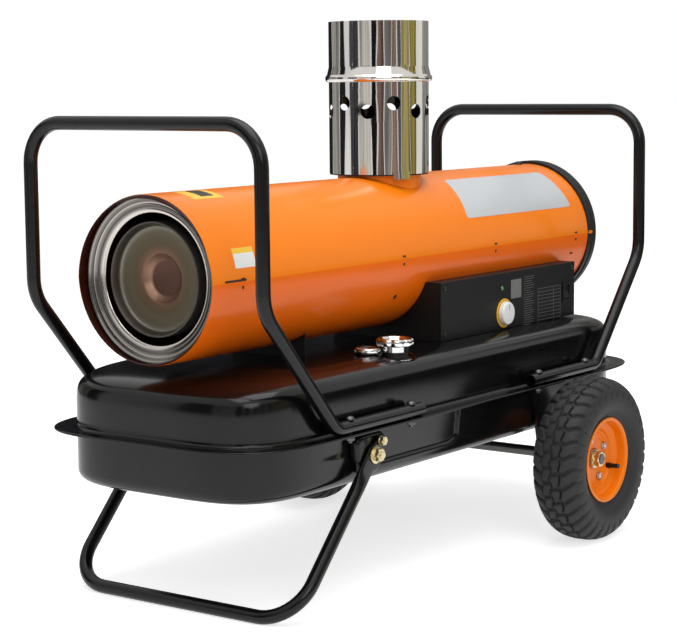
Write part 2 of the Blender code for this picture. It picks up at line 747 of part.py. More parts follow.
def make_axle():
    """Axle with two collars, two nuts and the two brackets under the tank."""
    hub_inner = WHEEL_Y - HUB_INNER_REACH
    hub_outer = WHEEL_Y + HUB_OUTER_REACH
    collar_out = hub_inner - SEAT_GAP
    collar_in = collar_out - AXLE_COLLAR_WIDTH
    end = hub_outer + AXLE_END_BEYOND_HUB
    section = [(AXLE_RADIUS, -end), (AXLE_RADIUS, -collar_out), (AXLE_COLLAR_RADIUS, -collar_out),
               (AXLE_COLLAR_RADIUS, -collar_in), (AXLE_RADIUS, -collar_in)]
    section += [(radius, -height) for radius, height in section[::-1]]
    place("axle", turned(section, closed=False), STEEL, (WHEEL_X, 0, WHEEL_RADIUS), Z_TO_NEAR)
    for side, sign in NEAR_AND_FAR:
        facing = Z_TO_NEAR if sign < 0 else Z_TO_FAR
        bore, low = AXLE_RADIUS + SEAT_GAP, SEAT_GAP
        middle = low + WHEEL_WASHER_THICKNESS
        high = middle + WHEEL_NUT_HEIGHT
        nut = fastener([(bore, low, False), (WHEEL_WASHER_RADIUS, low, False),
                        (WHEEL_WASHER_RADIUS, middle, False), (WHEEL_NUT_RADIUS, middle, True),
                        (WHEEL_NUT_RADIUS, high, True), (bore, high, False)], closed=True)
        place("wheel_nut_" + side, nut, ZINC, (WHEEL_X, sign * hub_outer, WHEEL_RADIUS), facing)


def make_axle_brackets():
    """Hanging plates on the tank's sides that carry the axle."""
    top = FLANGE_BOTTOM_Z - TANK_SHEET - SEAT_GAP
    half = AXLE_BRACKET_TOP_LENGTH / 2
    foot = arc_points((0, WHEEL_RADIUS), AXLE_BRACKET_FOOT_RADIUS, AXLE_BRACKET_FOOT_START_ANGLE,
                      3 * math.degrees(math.pi) - AXLE_BRACKET_FOOT_START_ANGLE, AXLE_BRACKET_FOOT_STEPS)
    outline = [(half, top), (-half, top)] + foot
    for side, sign in NEAR_AND_FAR:
        inner = TANK_HALF_WIDTH + SEAT_GAP
        plate = extruded(outline, inner, inner + AXLE_BRACKET_SHEET)
        plate.transform(about("X", 90))
        if sign > 0:
            plate.transform(Matrix.Scale(-1, 4, Vector((0, 1, 0))))
            plate = outward(plate)
        piece = place("axle_bracket_" + side, plate, SATIN_BLACK, (WHEEL_X, 0, 0))
        hole = drum(AXLE_RADIUS + SHAFT_GAP, -WHEEL_Y, WHEEL_Y)
        cut(piece, moved(hole, (WHEEL_X, 0, WHEEL_RADIUS), Z_TO_NEAR))


# Fuel tank

def tank_ring(length, width, end_length, height):
    """Plan outline with straight sides and rounded-square ends."""
    power = 2 / TANK_END_SQUARENESS
    ring = []
    for direction in (1, -1):
        for k in range(TANK_END_STEPS + 1):
            angle = math.radians(-90 + 180 * k / TANK_END_STEPS)
            c, s = math.cos(angle), math.sin(angle)
            x = (length - end_length) + end_length * abs(c) ** power
            y = width * math.copysign(abs(s) ** power, s)
            ring.append((direction * x, direction * y, height))
    return ring


def inset_ring(inset, height):
    """Tank outline drawn in by a distance all round."""
    return tank_ring(TANK_HALF_LENGTH - inset, TANK_HALF_WIDTH - inset, TANK_END_LENGTH - inset, height)


def scaled_ring(share, height):
    """Tank outline drawn in to a share of its size."""
    return tank_ring(TANK_HALF_LENGTH * share, TANK_HALF_WIDTH * share, TANK_END_LENGTH * share, height)


def foot_bolt_spots():
    """Places of the hoop bolts in plan: four at each end of the heater."""
    vertex = HOOP_X - HOOP_SLANT_RUN
    for end in (-1, 1):
        for y in (-HOOP_HALF_WIDTH, HOOP_HALF_WIDTH):
            yield end * (vertex - FOOT_BOLT_NEAR_VERTEX), y
            yield end * (vertex - HOOP_FOOT_LENGTH + FOOT_BOLT_NEAR_END), y


def foot_bolt_holes():
    """Through holes for all hoop bolts."""
    radius = FOOT_BOLT_RADIUS + HOLE_GAP
    low = FLANGE_BOTTOM_Z - TANK_SHEET - CUT_OVERRUN
    high = FOOT_Z + TUBE_RADIUS + CUT_OVERRUN
    return joined([moved(drum(radius, low, high, BOLT_SIDES), (x, y, 0)) for x, y in foot_bolt_spots()])


def make_tank():
    """Lower pan and upper lid of the fuel tank."""
    rolled = TANK_FLANGE_WIDTH - TANK_LIP_SHEET_SHARE * TANK_SHEET
    fillet = TANK_BOTTOM_FILLET
    rings = [inset_ring(-rolled, FLANGE_BOTTOM_Z), inset_ring(0, FLANGE_BOTTOM_Z),
             inset_ring(0, TANK_BOTTOM_Z + fillet)]
    for step in range(1, TANK_FILLET_STEPS + 1):
        angle = math.pi / 2 * step / TANK_FILLET_STEPS
        rings.append(inset_ring(fillet * (1 - math.cos(angle)),
                                TANK_BOTTOM_Z + fillet * (1 - math.sin(angle))))
    skin = mesh_of(rings[::-1], capped=False)
    lower_mesh = capped_at_start(skin, len(rings[0]))
    lower = place("tank_lower_shell", lower_mesh, BLACK)
    walled(lower, TANK_SHEET)
    cut(lower, foot_bolt_holes())

    flange = FLANGE_TOP_Z
    rings = [inset_ring(-TANK_FLANGE_WIDTH, flange - TANK_SHEET - TANK_LIP_DROP),
             inset_ring(-TANK_FLANGE_WIDTH, flange), inset_ring(0, flange)]
    rings += [scaled_ring(share, height) for share, height in lid_levels()]
    upper_mesh = capped_at_end(mesh_of(rings, capped=False), len(rings[0]))
    upper = place("tank_upper_shell", upper_mesh, BLACK)
    walled(upper, TANK_SHEET)
    fuse(upper, filler_boss())
    flat = drum(FILLER_BOSS_RADIUS, FILLER_SEAT_Z, TANK_PLATEAU_Z + CUT_OVERRUN)
    neck_hole = drum(FILLER_NECK_RADIUS + HOLE_GAP, FILLER_SEAT_Z - FILLER_BOSS_DEPTH - CUT_OVERRUN,
                     TANK_PLATEAU_Z)
    gauge_hole = drum(GAUGE_STEM_RADIUS + HOLE_GAP, TANK_PLATEAU_Z - FILLER_BOSS_DEPTH,
                      TANK_PLATEAU_Z + CUT_OVERRUN)
    cut(upper, foot_bolt_holes(), moved(flat, (FILLER_X, FILLER_Y, 0)),
        moved(neck_hole, (FILLER_X, FILLER_Y, 0)), moved(gauge_hole, (GAUGE_X, GAUGE_Y, 0)))


def lid_levels():
    """Share of the plan size and height of the lid's rings, from the wall to the plateau."""
    levels = [shoulder_point(degrees) for degrees in TANK_SHOULDER_ANGLES]
    levels = [level for level in levels if level[0] > TANK_STEP_SHARE]
    step_height = shoulder_height(TANK_STEP_SHARE)
    span = TANK_STEP_SHARE - TANK_PLATEAU_SHARE
    for share, rise in TANK_STEP_SHARES:
        levels.append((TANK_PLATEAU_SHARE + span * share,
                       step_height + (TANK_PLATEAU_Z - step_height) * rise))
    return levels


def lid_height(y):
    """Height of the lid's skin beside its straight middle part."""
    share = abs(y) / TANK_HALF_WIDTH
    levels = lid_levels()
    if share >= levels[0][0]:
        return levels[0][1]
    for (outer, low), (inner, high) in zip(levels, levels[1:]):
        if share >= inner:
            return low + (high - low) * (outer - share) / (outer - inner)
    return TANK_PLATEAU_Z


def filler_boss():
    """Plug under the filler; its wall runs up to the middle of the lid's sheet all round."""
    wide, inner = FILLER_BOSS_RADIUS + TANK_SHEET, FILLER_BOSS_RADIUS - SEAT_GAP
    low, top = FILLER_SEAT_Z - FILLER_BOSS_DEPTH, TANK_PLATEAU_Z - TANK_SHEET / 2
    rings = []
    for radius, height in ((wide, low), (wide, None), (inner, None), (FILLER_NECK_RADIUS, top)):
        ring = []
        for k in range(ROUND_SIDES):
            angle = 2 * math.pi * k / ROUND_SIDES
            x, y = FILLER_X + radius * math.cos(angle), FILLER_Y + radius * math.sin(angle)
            ring.append((x, y, lid_height(y) - TANK_SHEET / 2 if height is None else height))
        rings.append(ring)
    return outward(mesh_of(rings))


def shoulder_height(share):
    """Height of the rounded shoulder at a share of the tank's plan size."""
    power = TANK_SHOULDER_SQUARENESS
    return FLANGE_TOP_Z + TANK_SHOULDER_RISE * (1 - share ** power) ** (1 / power)


def shoulder_point(degrees):
    """Share of the plan size and height of one point on the shoulder's curve."""
    share = math.cos(math.radians(degrees)) ** (2 / TANK_SHOULDER_SQUARENESS)
    return share, shoulder_height(share)


def capped_at_start(mesh, count):
    """Fill the first ring of an open skin."""
    return with_face(mesh, list(range(count))[::-1])


def capped_at_end(mesh, count):
    """Fill the last ring of an open skin."""
    total = len(mesh.vertices)
    return with_face(mesh, list(range(total - count, total)))


def with_face(mesh, corners):
    """Add one flat face and make the faces agree."""
    work = bmesh.new()
    work.from_mesh(mesh)
    work.verts.ensure_lookup_table()
    work.faces.new([work.verts[k] for k in corners])
    work.to_mesh(mesh)
    work.free()
    return mesh


# Handles, leg and their fasteners

def make_hoops():
    """Front and rear tube hoops, bolted down on the tank's rolled seam."""
    vertex = HOOP_X - HOOP_SLANT_RUN
    foot_end = vertex - HOOP_FOOT_LENGTH
    for name, end in (("front_handle", -1), ("rear_handle", 1)):
        half = [(end * foot_end, -HOOP_HALF_WIDTH, FOOT_Z), (end * vertex, -HOOP_HALF_WIDTH, FOOT_Z),
                (end * HOOP_X, -HOOP_HALF_WIDTH, HOOP_KNEE_Z), (end * HOOP_X, -HOOP_HALF_WIDTH, HOOP_TOP_Z)]
        corners = half + [(x, -y, z) for x, y, z in half[::-1]]
        bends = [HOOP_FOOT_BEND, HOOP_KNEE_BEND, HOOP_TOP_BEND]
        route = rounded_route(corners, bends + bends[::-1])
        hoop = place(name, hollow_pipe(route, TUBE_RADIUS, TUBE_WALL), BLACK, smooth_angle=50)
        cut(hoop, foot_bolt_holes())


def make_foot_bolts():
    """Bolts through the hoop feet and the tank's seam."""
    head_low = FOOT_Z + TUBE_RADIUS + SEAT_GAP
    nut_high = FLANGE_BOTTOM_Z - SEAT_GAP
    nut_low = nut_high - FOOT_BOLT_NUT_HEIGHT
    profile = [(FOOT_BOLT_RADIUS, nut_low - FOOT_BOLT_TAIL), (FOOT_BOLT_NUT_RADIUS, nut_low),
               (FOOT_BOLT_NUT_RADIUS, nut_high),
               (FOOT_BOLT_RADIUS, nut_high), (FOOT_BOLT_RADIUS, head_low),
               (FOOT_BOLT_HEAD_RADIUS, head_low),
               (FOOT_BOLT_HEAD_RADIUS, head_low + FOOT_BOLT_HEAD_HEIGHT / 2),
               (FOOT_BOLT_RADIUS, head_low + FOOT_BOLT_HEAD_HEIGHT)]
    for number, (x, y) in enumerate(foot_bolt_spots(), 1):
        place(f"handle_bolt_{number}", turned(profile, BOLT_SIDES, closed=False), BRIGHT_ZINC, (x, y, 0))


def leg_direction():
    """Unit vector from the leg's pivot down to its bar."""
    return Vector((LEG_BAR_X - LEG_PIVOT_X, 0, TUBE_RADIUS - LEG_PIVOT_Z)).normalized()


def lock_spot():
    """Place of the lock bolt: beyond the pivot, almost in line with the leg."""
    up = -leg_direction()
    up.rotate(about("Y", -LEG_LOCK_BACK_ANGLE))
    return LEG_PIVOT_X + up.x * LEG_LOCK_DISTANCE, LEG_PIVOT_Z + up.z * LEG_LOCK_DISTANCE


def side_holes(sign, *spots):
    """Round holes along Y through bracket and tab on one side, each (radius, x, z)."""
    low, high = BRACKET_INNER_Y - CUT_OVERRUN, TAB_OUTER_Y + CUT_OVERRUN
    facing = Z_TO_NEAR if sign < 0 else Z_TO_FAR
    return joined([moved(drum(radius, low, high, NUT_SIDES), (x, 0, z), facing) for radius, x, z in spots])


def tab_outline():
    """Round-ended strip in the (x, z) plane from below the pivot to beyond the lock bolt."""
    down = leg_direction()
    across = Vector((-down.z, 0, down.x))
    pivot = Vector((LEG_PIVOT_X, 0, LEG_PIVOT_Z))
    lock = Vector((lock_spot()[0], 0, lock_spot()[1]))
    foot = pivot + down * LEG_TAB_BELOW_PIVOT
    outline = [pivot - across * LEG_TAB_HALF_WIDTH, foot - across * LEG_TAB_HALF_WIDTH,
               foot + across * LEG_TAB_HALF_WIDTH, pivot + across * LEG_TAB_HALF_WIDTH]
    for k in range(LEG_TAB_TIP_STEPS + 1):
        angle = math.pi * k / LEG_TAB_TIP_STEPS
        outline.append(lock + (across * math.cos(angle) - down * math.sin(angle)) * LEG_TAB_TIP_RADIUS)
    return [(point.x, point.z) for point in outline]


def sideways(outline, near_y, far_y):
    """Prism of an (x, z) outline between two values of Y."""
    rings = [[(x, near_y, z) for x, z in outline], [(x, far_y, z) for x, z in outline]]
    return outward(mesh_of(rings))


def make_leg():
    """U-shaped leg of tube with flattened, drilled ends."""
    pivot = Vector((LEG_PIVOT_X, 0, LEG_PIVOT_Z))
    start = pivot + leg_direction() * LEG_TUBE_START
    corners = [(start.x, -LEG_HALF_WIDTH, start.z), (LEG_BAR_X, -LEG_HALF_WIDTH, TUBE_RADIUS),
               (LEG_BAR_X, LEG_HALF_WIDTH, TUBE_RADIUS), (start.x, LEG_HALF_WIDTH, start.z)]
    route = rounded_route(corners, [LEG_CORNER_BEND, LEG_CORNER_BEND])
    tube = hollow_pipe(route, TUBE_RADIUS, TUBE_WALL)
    origin = (LEG_PIVOT_X, 0, LEG_PIVOT_Z)
    tube.transform(Matrix.Translation(-Vector(origin)))
    leg = place("front_leg", tube, BLACK, origin, smooth_angle=50)
    tabs = [sideways(tab_outline(), sign * TAB_INNER_Y, sign * TAB_OUTER_Y) for sign in (-1, 1)]
    fuse(leg, *tabs)
    x, z = lock_spot()
    holes = [(PIVOT_BOLT_RADIUS + SHAFT_GAP, LEG_PIVOT_X, LEG_PIVOT_Z), (LOCK_BOLT_RADIUS + HOLE_GAP, x, z)]
    cut(leg, joined([side_holes(sign, *holes) for sign in (-1, 1)]))


def make_leg_brackets():
    """Pressed pans on the tank's sides with a pivot hole and two lock holes."""
    top = FLANGE_BOTTOM_Z - TANK_SHEET - SEAT_GAP
    lock_x, lock_z = lock_spot()
    outline = [(BRACKET_HALF_LENGTH, top), (-BRACKET_HALF_LENGTH, top),
               (-BRACKET_HALF_LENGTH, LEG_PIVOT_Z), (-BRACKET_FOOT_HALF_LENGTH, BRACKET_FOOT_Z),
               (BRACKET_FOOT_HALF_LENGTH, BRACKET_FOOT_Z), (BRACKET_HALF_LENGTH, LEG_PIVOT_Z)]
    outline = [(LEG_PIVOT_X + x, z) for x, z in outline]
    inner = shrunk(outline, BRACKET_SHEET)
    for side, sign in NEAR_AND_FAR:
        pan = sideways(outline, sign * BRACKET_INNER_Y, sign * BRACKET_OUTER_Y)
        piece = place("leg_bracket_" + side, pan, BLACK)
        pocket = sideways(inner, sign * (BRACKET_INNER_Y - CUT_OVERRUN),
                          sign * (BRACKET_OUTER_Y - BRACKET_SHEET))
        lock_hole = LOCK_BOLT_RADIUS + HOLE_GAP
        cut(piece, pocket, side_holes(sign, (PIVOT_BOLT_RADIUS + SHAFT_GAP, LEG_PIVOT_X, LEG_PIVOT_Z),
                                      (lock_hole, lock_x, lock_z),
                                      (lock_hole, 2 * LEG_PIVOT_X - lock_x, lock_z)))


def shrunk(outline, amount):
    """Convex outline moved inward by an amount on every side."""
    count = len(outline)
    middle_x = sum(x for x, z in outline) / count
    middle_z = sum(z for x, z in outline) / count
    lines = []
    for i in range(count):
        (x0, z0), (x1, z1) = outline[i], outline[(i + 1) % count]
        length = math.hypot(x1 - x0, z1 - z0)
        nx, nz = (z1 - z0) / length, -(x1 - x0) / length
        if (middle_x - x0) * nx + (middle_z - z0) * nz < 0:
            nx, nz = -nx, -nz
        lines.append((nx, nz, nx * x0 + nz * z0 + amount))
    corners = []
    for i in range(count):
        a, b, c = lines[i - 1]
        d, e, f = lines[i]
        slope = a * e - b * d
        corners.append(((c * e - b * f) / slope, (a * f - c * d) / slope))
    return corners


def make_leg_bolts():
    """Pivot bolts held by the brackets and lock bolts carried by the leg's tabs."""
    washer = TAB_OUTER_Y + SEAT_GAP
    nut = washer + PIVOT_WASHER_THICKNESS
    web = BRACKET_OUTER_Y - BRACKET_SHEET - SEAT_GAP
    head = BRACKET_INNER_Y + SEAT_GAP
    nut_top = nut + PIVOT_NUT_HEIGHT
    pivot = [(PIVOT_NUT_RADIUS, head, True), (PIVOT_NUT_RADIUS, web, True), (PIVOT_BOLT_RADIUS, web, False),
             (PIVOT_BOLT_RADIUS, washer, False), (PIVOT_WASHER_RADIUS, washer, False),
             (PIVOT_WASHER_RADIUS, nut, False), (PIVOT_NUT_RADIUS, nut, True),
             (PIVOT_NUT_RADIUS, nut_top, True),
             (PIVOT_BOLT_RADIUS, nut_top, False), (PIVOT_BOLT_RADIUS, nut_top + PIVOT_BOLT_TAIL, False)]
    lock_nut = washer + LOCK_WASHER_THICKNESS
    lock_top = lock_nut + LOCK_NUT_HEIGHT
    lock = [(LOCK_BOLT_RADIUS, TAB_INNER_Y + SEAT_GAP, False), (LOCK_BOLT_RADIUS, washer, False),
            (LOCK_WASHER_RADIUS, washer, False), (LOCK_WASHER_RADIUS, lock_nut, False),
            (LOCK_NUT_RADIUS, lock_nut, True), (LOCK_NUT_RADIUS, lock_top, True),
            (LOCK_BOLT_RADIUS, lock_top, False), (LOCK_BOLT_RADIUS, lock_top + LOCK_BOLT_TAIL, False)]
    x, z = lock_spot()
    for side, sign in NEAR_AND_FAR:
        facing = Z_TO_NEAR if sign < 0 else Z_TO_FAR
        place("leg_pivot_bolt_" + side, fastener(pivot), ZINC, (LEG_PIVOT_X, 0, LEG_PIVOT_Z), facing)
        place("leg_lock_bolt_" + side, fastener(lock), ZINC, (x, 0, z), facing)


# Casing, outlet and heat exchanger

def casing_arc(radius, up):
    """Half cross-section of the casing as (y, z) points from near side to far side."""
    centre_z = CASING_AXIS_Z - up * ARC_DROP
    seam = CASING_AXIS_Z + up * SEAT_GAP / 2
    reach = math.degrees(math.acos((seam - centre_z) * up / radius))
    points = []
    for k in range(CASING_ARC_STEPS + 1):
        angle = math.radians(-reach + 2 * reach * k / CASING_ARC_STEPS)
        points.append((radius * math.sin(angle), centre_z + up * radius * math.cos(angle)))
    return points


def make_casing():
    """Upper and lower half shells."""
    for name, up in (("casing_lower_shell", -1), ("casing_upper_shell", 1)):
        outer = casing_arc(ARC_RADIUS, up)
        inner = casing_arc(ARC_RADIUS - CASING_SHEET, up)
        loop = outer + inner[::-1]
        rings = [[(x, y, z) for y, z in loop] for x in (CASING_FRONT_X, CASING_BACK_X)]
        shell = ribbon(rings, len(outer))
        piece = place(name, shell, ORANGE)
        if up > 0:
            hole = drum(SPIGOT_RADIUS + HOLE_GAP, CASING_AXIS_Z + DRUM_RADIUS, COLLAR_TOP_Z, DRUM_SIDES)
            cut(piece, moved(hole, (FLUE_X, 0, 0)))


def ribbon(rings, half_count):
    """Closed strip whose end caps are rows of quads and not one long face."""
    mesh = mesh_of(rings, capped=False)
    work = bmesh.new()
    work.from_mesh(mesh)
    work.verts.ensure_lookup_table()
    count = len(rings[0])
    for start in (0, count):
        for k in range(half_count - 1):
            corners = (k, k + 1, count - 2 - k, count - 1 - k)
            work.faces.new([work.verts[start + c] for c in corners])
    bmesh.ops.recalc_face_normals(work, faces=work.faces)
    work.to_mesh(mesh)
    work.free()
    return mesh


def make_outlet():
    """Stepped steel ring that leads the warm air out."""
    outer = CASING_INNER_HALF_HEIGHT - HOLE_GAP
    step = OUTLET_RIM_RADIUS + (outer - OUTLET_RIM_RADIUS) * OUTLET_STEP_SHARE
    sheet = OUTLET_SHEET
    middle = OUTLET_DEPTH * OUTLET_STEP_SHARE
    front = [(outer, OUTLET_SKIRT), (outer, 0), (step, middle), (step, middle + sheet),
             (OUTLET_RIM_RADIUS, OUTLET_DEPTH), (OUTLET_RIM_RADIUS, OUTLET_DEPTH + sheet * 2)]
    back = [(OUTLET_RIM_RADIUS + sheet, OUTLET_DEPTH + sheet * 2),
            (OUTLET_RIM_RADIUS + sheet, OUTLET_DEPTH + sheet),
            (step + sheet, middle + sheet * 2), (step + sheet, middle + sheet),
            (outer - sheet, sheet), (outer - sheet, OUTLET_SKIRT)]
    place("outlet_ring", turned(front + back, DRUM_SIDES), STEEL,
          (CASING_FRONT_X + OUTLET_SETBACK, 0, CASING_AXIS_Z), Z_TO_X)


def make_heat_exchanger():
    """Outer drum with its dished front and flue spigot, and the inner chamber."""
    rim = DRUM_RADIUS - DRUM_RIM_WIDTH
    depth_dish = DRUM_RIM_DEPTH + DRUM_DISH_DEPTH
    depth_boss = depth_dish + DRUM_BOSS_DEPTH
    length = DRUM_BACK_X - DRUM_FRONT_X
    sheet = DRUM_SHEET
    outside = [(DRUM_BOSS_INNER_RADIUS, depth_boss), (DRUM_BOSS_RADIUS, depth_dish), (rim, DRUM_RIM_DEPTH),
               (DRUM_RADIUS - sheet, 0), (DRUM_RADIUS, 0), (DRUM_RADIUS, length)]
    inside = [(DRUM_RADIUS - sheet, length), (DRUM_RADIUS - sheet, DRUM_RIM_DEPTH + sheet),
              (rim, DRUM_RIM_DEPTH + sheet), (DRUM_BOSS_RADIUS, depth_dish + sheet),
              (DRUM_BOSS_INNER_RADIUS, depth_boss + sheet)]
    shell = turned(outside + inside, DRUM_SIDES, closed=False)
    here = (DRUM_FRONT_X, 0, CASING_AXIS_Z)
    piece = place("heat_exchanger_drum", shell, HEATED_STEEL, here, Z_TO_X)
    low = CASING_AXIS_Z + DRUM_RADIUS * math.cos(math.asin(SPIGOT_RADIUS / DRUM_RADIUS)) - sheet
    fuse(piece, moved(drum(SPIGOT_RADIUS, low, COLLAR_TOP_Z, DRUM_SIDES), (FLUE_X, 0, 0)))
    flue_bore = drum(SPIGOT_RADIUS - SPIGOT_SHEET, CASING_AXIS_Z, COLLAR_TOP_Z + CUT_OVERRUN, DRUM_SIDES)
    cut(piece, moved(flue_bore, (FLUE_X, 0, 0)), drum_bore(length))
    reach = DRUM_BACK_X - CHAMBER_FRONT_X
    wall = CHAMBER_RADIUS - sheet
    section = [(CHAMBER_DOME, 0), (CHAMBER_RADIUS - CHAMBER_DOME / 2, CHAMBER_DOME / 3),
               (CHAMBER_RADIUS, CHAMBER_DOME), (CHAMBER_RADIUS, reach),
               (wall, reach), (wall, CHAMBER_DOME), (wall - CHAMBER_DOME / 2, CHAMBER_DOME / 3 + sheet),
               (CHAMBER_DOME, sheet)]
    place("combustion_chamber", turned(section, closed=False), HEATED_STEEL,
          (CHAMBER_FRONT_X, 0, CASING_AXIS_Z), Z_TO_X)


def drum_bore(length):
    """Inside of the drum, to clear the spigot's foot."""
    radius = DRUM_RADIUS - DRUM_SHEET - SEAT_GAP
    bore = drum(radius, length / 3, length + CUT_OVERRUN, DRUM_SIDES)
    return moved(bore, (DRUM_FRONT_X, 0, CASING_AXIS_Z), Z_TO_X)


def spider(rings, arms, sectors, arm_share, thickness):
    """Flat wheel of annular bands joined by radial arms.

    rings lists (inner, outer) radii of the solid bands, from the middle out;
    between two bands only the arms are filled, each arm_share of its part of the circle.
    """
    radii = [radius for band in rings for radius in band]
    sectors_per_arm = sectors // arms
    open_sectors = sectors_per_arm - 1
    layers = []
    for height in (0, thickness):
        for radius in radii:
            for k in range(sectors):
                part = (k % sectors_per_arm) / open_sectors * (1 - arm_share)
                angle = 2 * math.pi * (k // sectors_per_arm + part) / arms
                layers.append((radius * math.cos(angle), radius * math.sin(angle), height))
    half = len(radii) * sectors
    filled = set()
    for band in range(len(radii) - 1):
        for k in range(sectors):
            if band % 2 == 0 or k % sectors_per_arm == open_sectors:
                filled.add((band, k))
    faces = []
    for band, k in sorted(filled):
        after = (k + 1) % sectors
        a, b = band * sectors + k, band * sectors + after
        c, d = (band + 1) * sectors + after, (band + 1) * sectors + k
        faces.append((a, b, c, d))
        faces.append((a + half, d + half, c + half, b + half))
        if (band - 1, k) not in filled:
            faces.append((a, a + half, b + half, b))
        if (band + 1, k) not in filled:
            faces.append((c, c + half, d + half, d))
        if (band, (k - 1) % sectors) not in filled:
            faces.append((d, d + half, a + half, a))
        if (band, after) not in filled:
            faces.append((b, b + half, c + half, c))
    mesh = bpy.data.meshes.new("spider")
    mesh.from_pydata(layers, [], faces)
    work = bmesh.new()
    work.from_mesh(mesh)
    loose = [vert for vert in work.verts if not vert.link_faces]
    bmesh.ops.delete(work, geom=loose, context="VERTS")
    work.to_mesh(mesh)
    work.free()
    return outward(mesh)


def make_supports():
    """Spider round the drum, burner plate and the two saddles under the casing."""
    reach = CASING_INNER_HALF_HEIGHT - HOLE_GAP
    bore = DRUM_RADIUS + HOLE_GAP
    rings = [(bore, bore + SUPPORT_RING_WIDTH), (reach - SUPPORT_RING_WIDTH, reach)]
    web = spider(rings, SUPPORT_ARMS, DRUM_SIDES, SUPPORT_ARMS / DRUM_SIDES, SUPPORT_THICKNESS)
    place("drum_support", web, STEEL, (SUPPORT_X, 0, CASING_AXIS_Z), Z_TO_X)
    rings = [(BLAST_TUBE_RADIUS + HOLE_GAP, DRUM_RADIUS + PLATE_RIM_WIDTH / 2),
             (reach - PLATE_RIM_WIDTH, reach)]
    web = spider(rings, PLATE_ARMS, DRUM_SIDES, PLATE_ARMS / DRUM_SIDES, PLATE_THICKNESS)
    place("burner_plate", web, STEEL, (PLATE_X, 0, CASING_AXIS_Z), Z_TO_X)
    centre_z = CASING_AXIS_Z + ARC_DROP
    radius = ARC_RADIUS + SEAT_GAP
    swing = math.degrees(math.asin(SADDLE_HALF_WIDTH / radius))
    curve = arc_points((0, centre_z), radius, 270 - swing, 270 + swing, SADDLE_ARC_STEPS)
    saddle = [(SADDLE_HALF_WIDTH, BOX_BOTTOM_Z), (-SADDLE_HALF_WIDTH, BOX_BOTTOM_Z)] + curve
    rings = [[(x, y, z) for y, z in saddle] for x in (SADDLE_X, SADDLE_X + SADDLE_SHEET)]
    place("front_saddle", outward(mesh_of(rings)), SATIN_BLACK)


def make_burner():
    """Blast tube with a flange and a narrowed nozzle."""
    tube, sheet = BLAST_TUBE_RADIUS, BLAST_TUBE_SHEET
    flange_low = PLATE_THICKNESS + SEAT_GAP
    flange_high = flange_low + BLAST_FLANGE_SHEET
    section = [(BLAST_NOZZLE_RADIUS, -BLAST_TUBE_IN), (tube, -BLAST_TUBE_IN + tube / 2),
               (tube, flange_low), (BLAST_FLANGE_RADIUS, flange_low), (BLAST_FLANGE_RADIUS, flange_high),
               (tube, flange_high), (tube, flange_high + BLAST_TUBE_OUT),
               (tube - sheet, flange_high + BLAST_TUBE_OUT), (tube - sheet, -BLAST_TUBE_IN + tube / 2),
               (BLAST_NOZZLE_RADIUS - sheet, -BLAST_TUBE_IN + sheet)]
    place("burner_head", turned(section), CAST_METAL, (PLATE_X, 0, CASING_AXIS_Z), Z_TO_X)


# Flue

def make_flue():
    """Collar on the casing and the flue adapter with its draught holes."""
    wide = SPIGOT_RADIUS + HOLE_GAP
    neck, brim = wide + COLLAR_NECK_WIDTH, wide + COLLAR_WIDTH
    under_brim, foot = COLLAR_TOP_Z - COLLAR_BRIM_SHEET, COLLAR_TOP_Z - COLLAR_SKIRT
    section = [(neck, foot), (neck, under_brim), (brim, under_brim), (brim, COLLAR_TOP_Z),
               (wide, COLLAR_TOP_Z), (wide, foot)]
    piece = place("flue_collar", turned(section, DRUM_SIDES), SATIN_BLACK, (FLUE_X, 0, 0))
    span = 2 * COLLAR_WIDTH + 2 * SPIGOT_RADIUS + CUT_OVERRUN
    under = drum(ARC_RADIUS + SEAT_GAP, FLUE_X - span, FLUE_X + span, ARC_CUTTER_SIDES)
    cut(piece, moved(under, (0, 0, CASING_AXIS_Z - ARC_DROP), Z_TO_X))
    bead = FLUE_BEAD_HEIGHT / 2
    outer = [(FLUE_RADIUS, FLUE_LOW_Z), (FLUE_RADIUS, FLUE_BEAD_Z - bead),
             (FLUE_RADIUS + FLUE_BEAD_BULGE, FLUE_BEAD_Z - bead / 2),
             (FLUE_RADIUS + FLUE_BEAD_BULGE, FLUE_BEAD_Z + bead / 2),
             (FLUE_RADIUS, FLUE_BEAD_Z + bead), (FLUE_RADIUS, FLUE_TOP_Z)]
    inner = [(radius - FLUE_SHEET, height) for radius, height in outer]
    piece = place("flue_pipe", turned(outer + inner[::-1], WHEEL_SIDES), STAINLESS, (FLUE_X, 0, 0))
    holes = []
    for k in range(FLUE_HOLE_COUNT):
        height = FLUE_HOLE_UPPER_Z if k % 2 == 0 else FLUE_HOLE_LOWER_Z
        start = FLUE_RADIUS - FLUE_SHEET - CUT_OVERRUN
        peg = drum(FLUE_HOLE_RADIUS, start, FLUE_RADIUS + CUT_OVERRUN, BOLT_SIDES)
        turn = about("Z", FLUE_HOLE_FIRST_ANGLE + 360 * k / FLUE_HOLE_COUNT) @ Z_TO_X
        holes.append(moved(peg, (FLUE_X, 0, height), turn))
    cut(piece, joined(holes))


# Fan, motor and pump

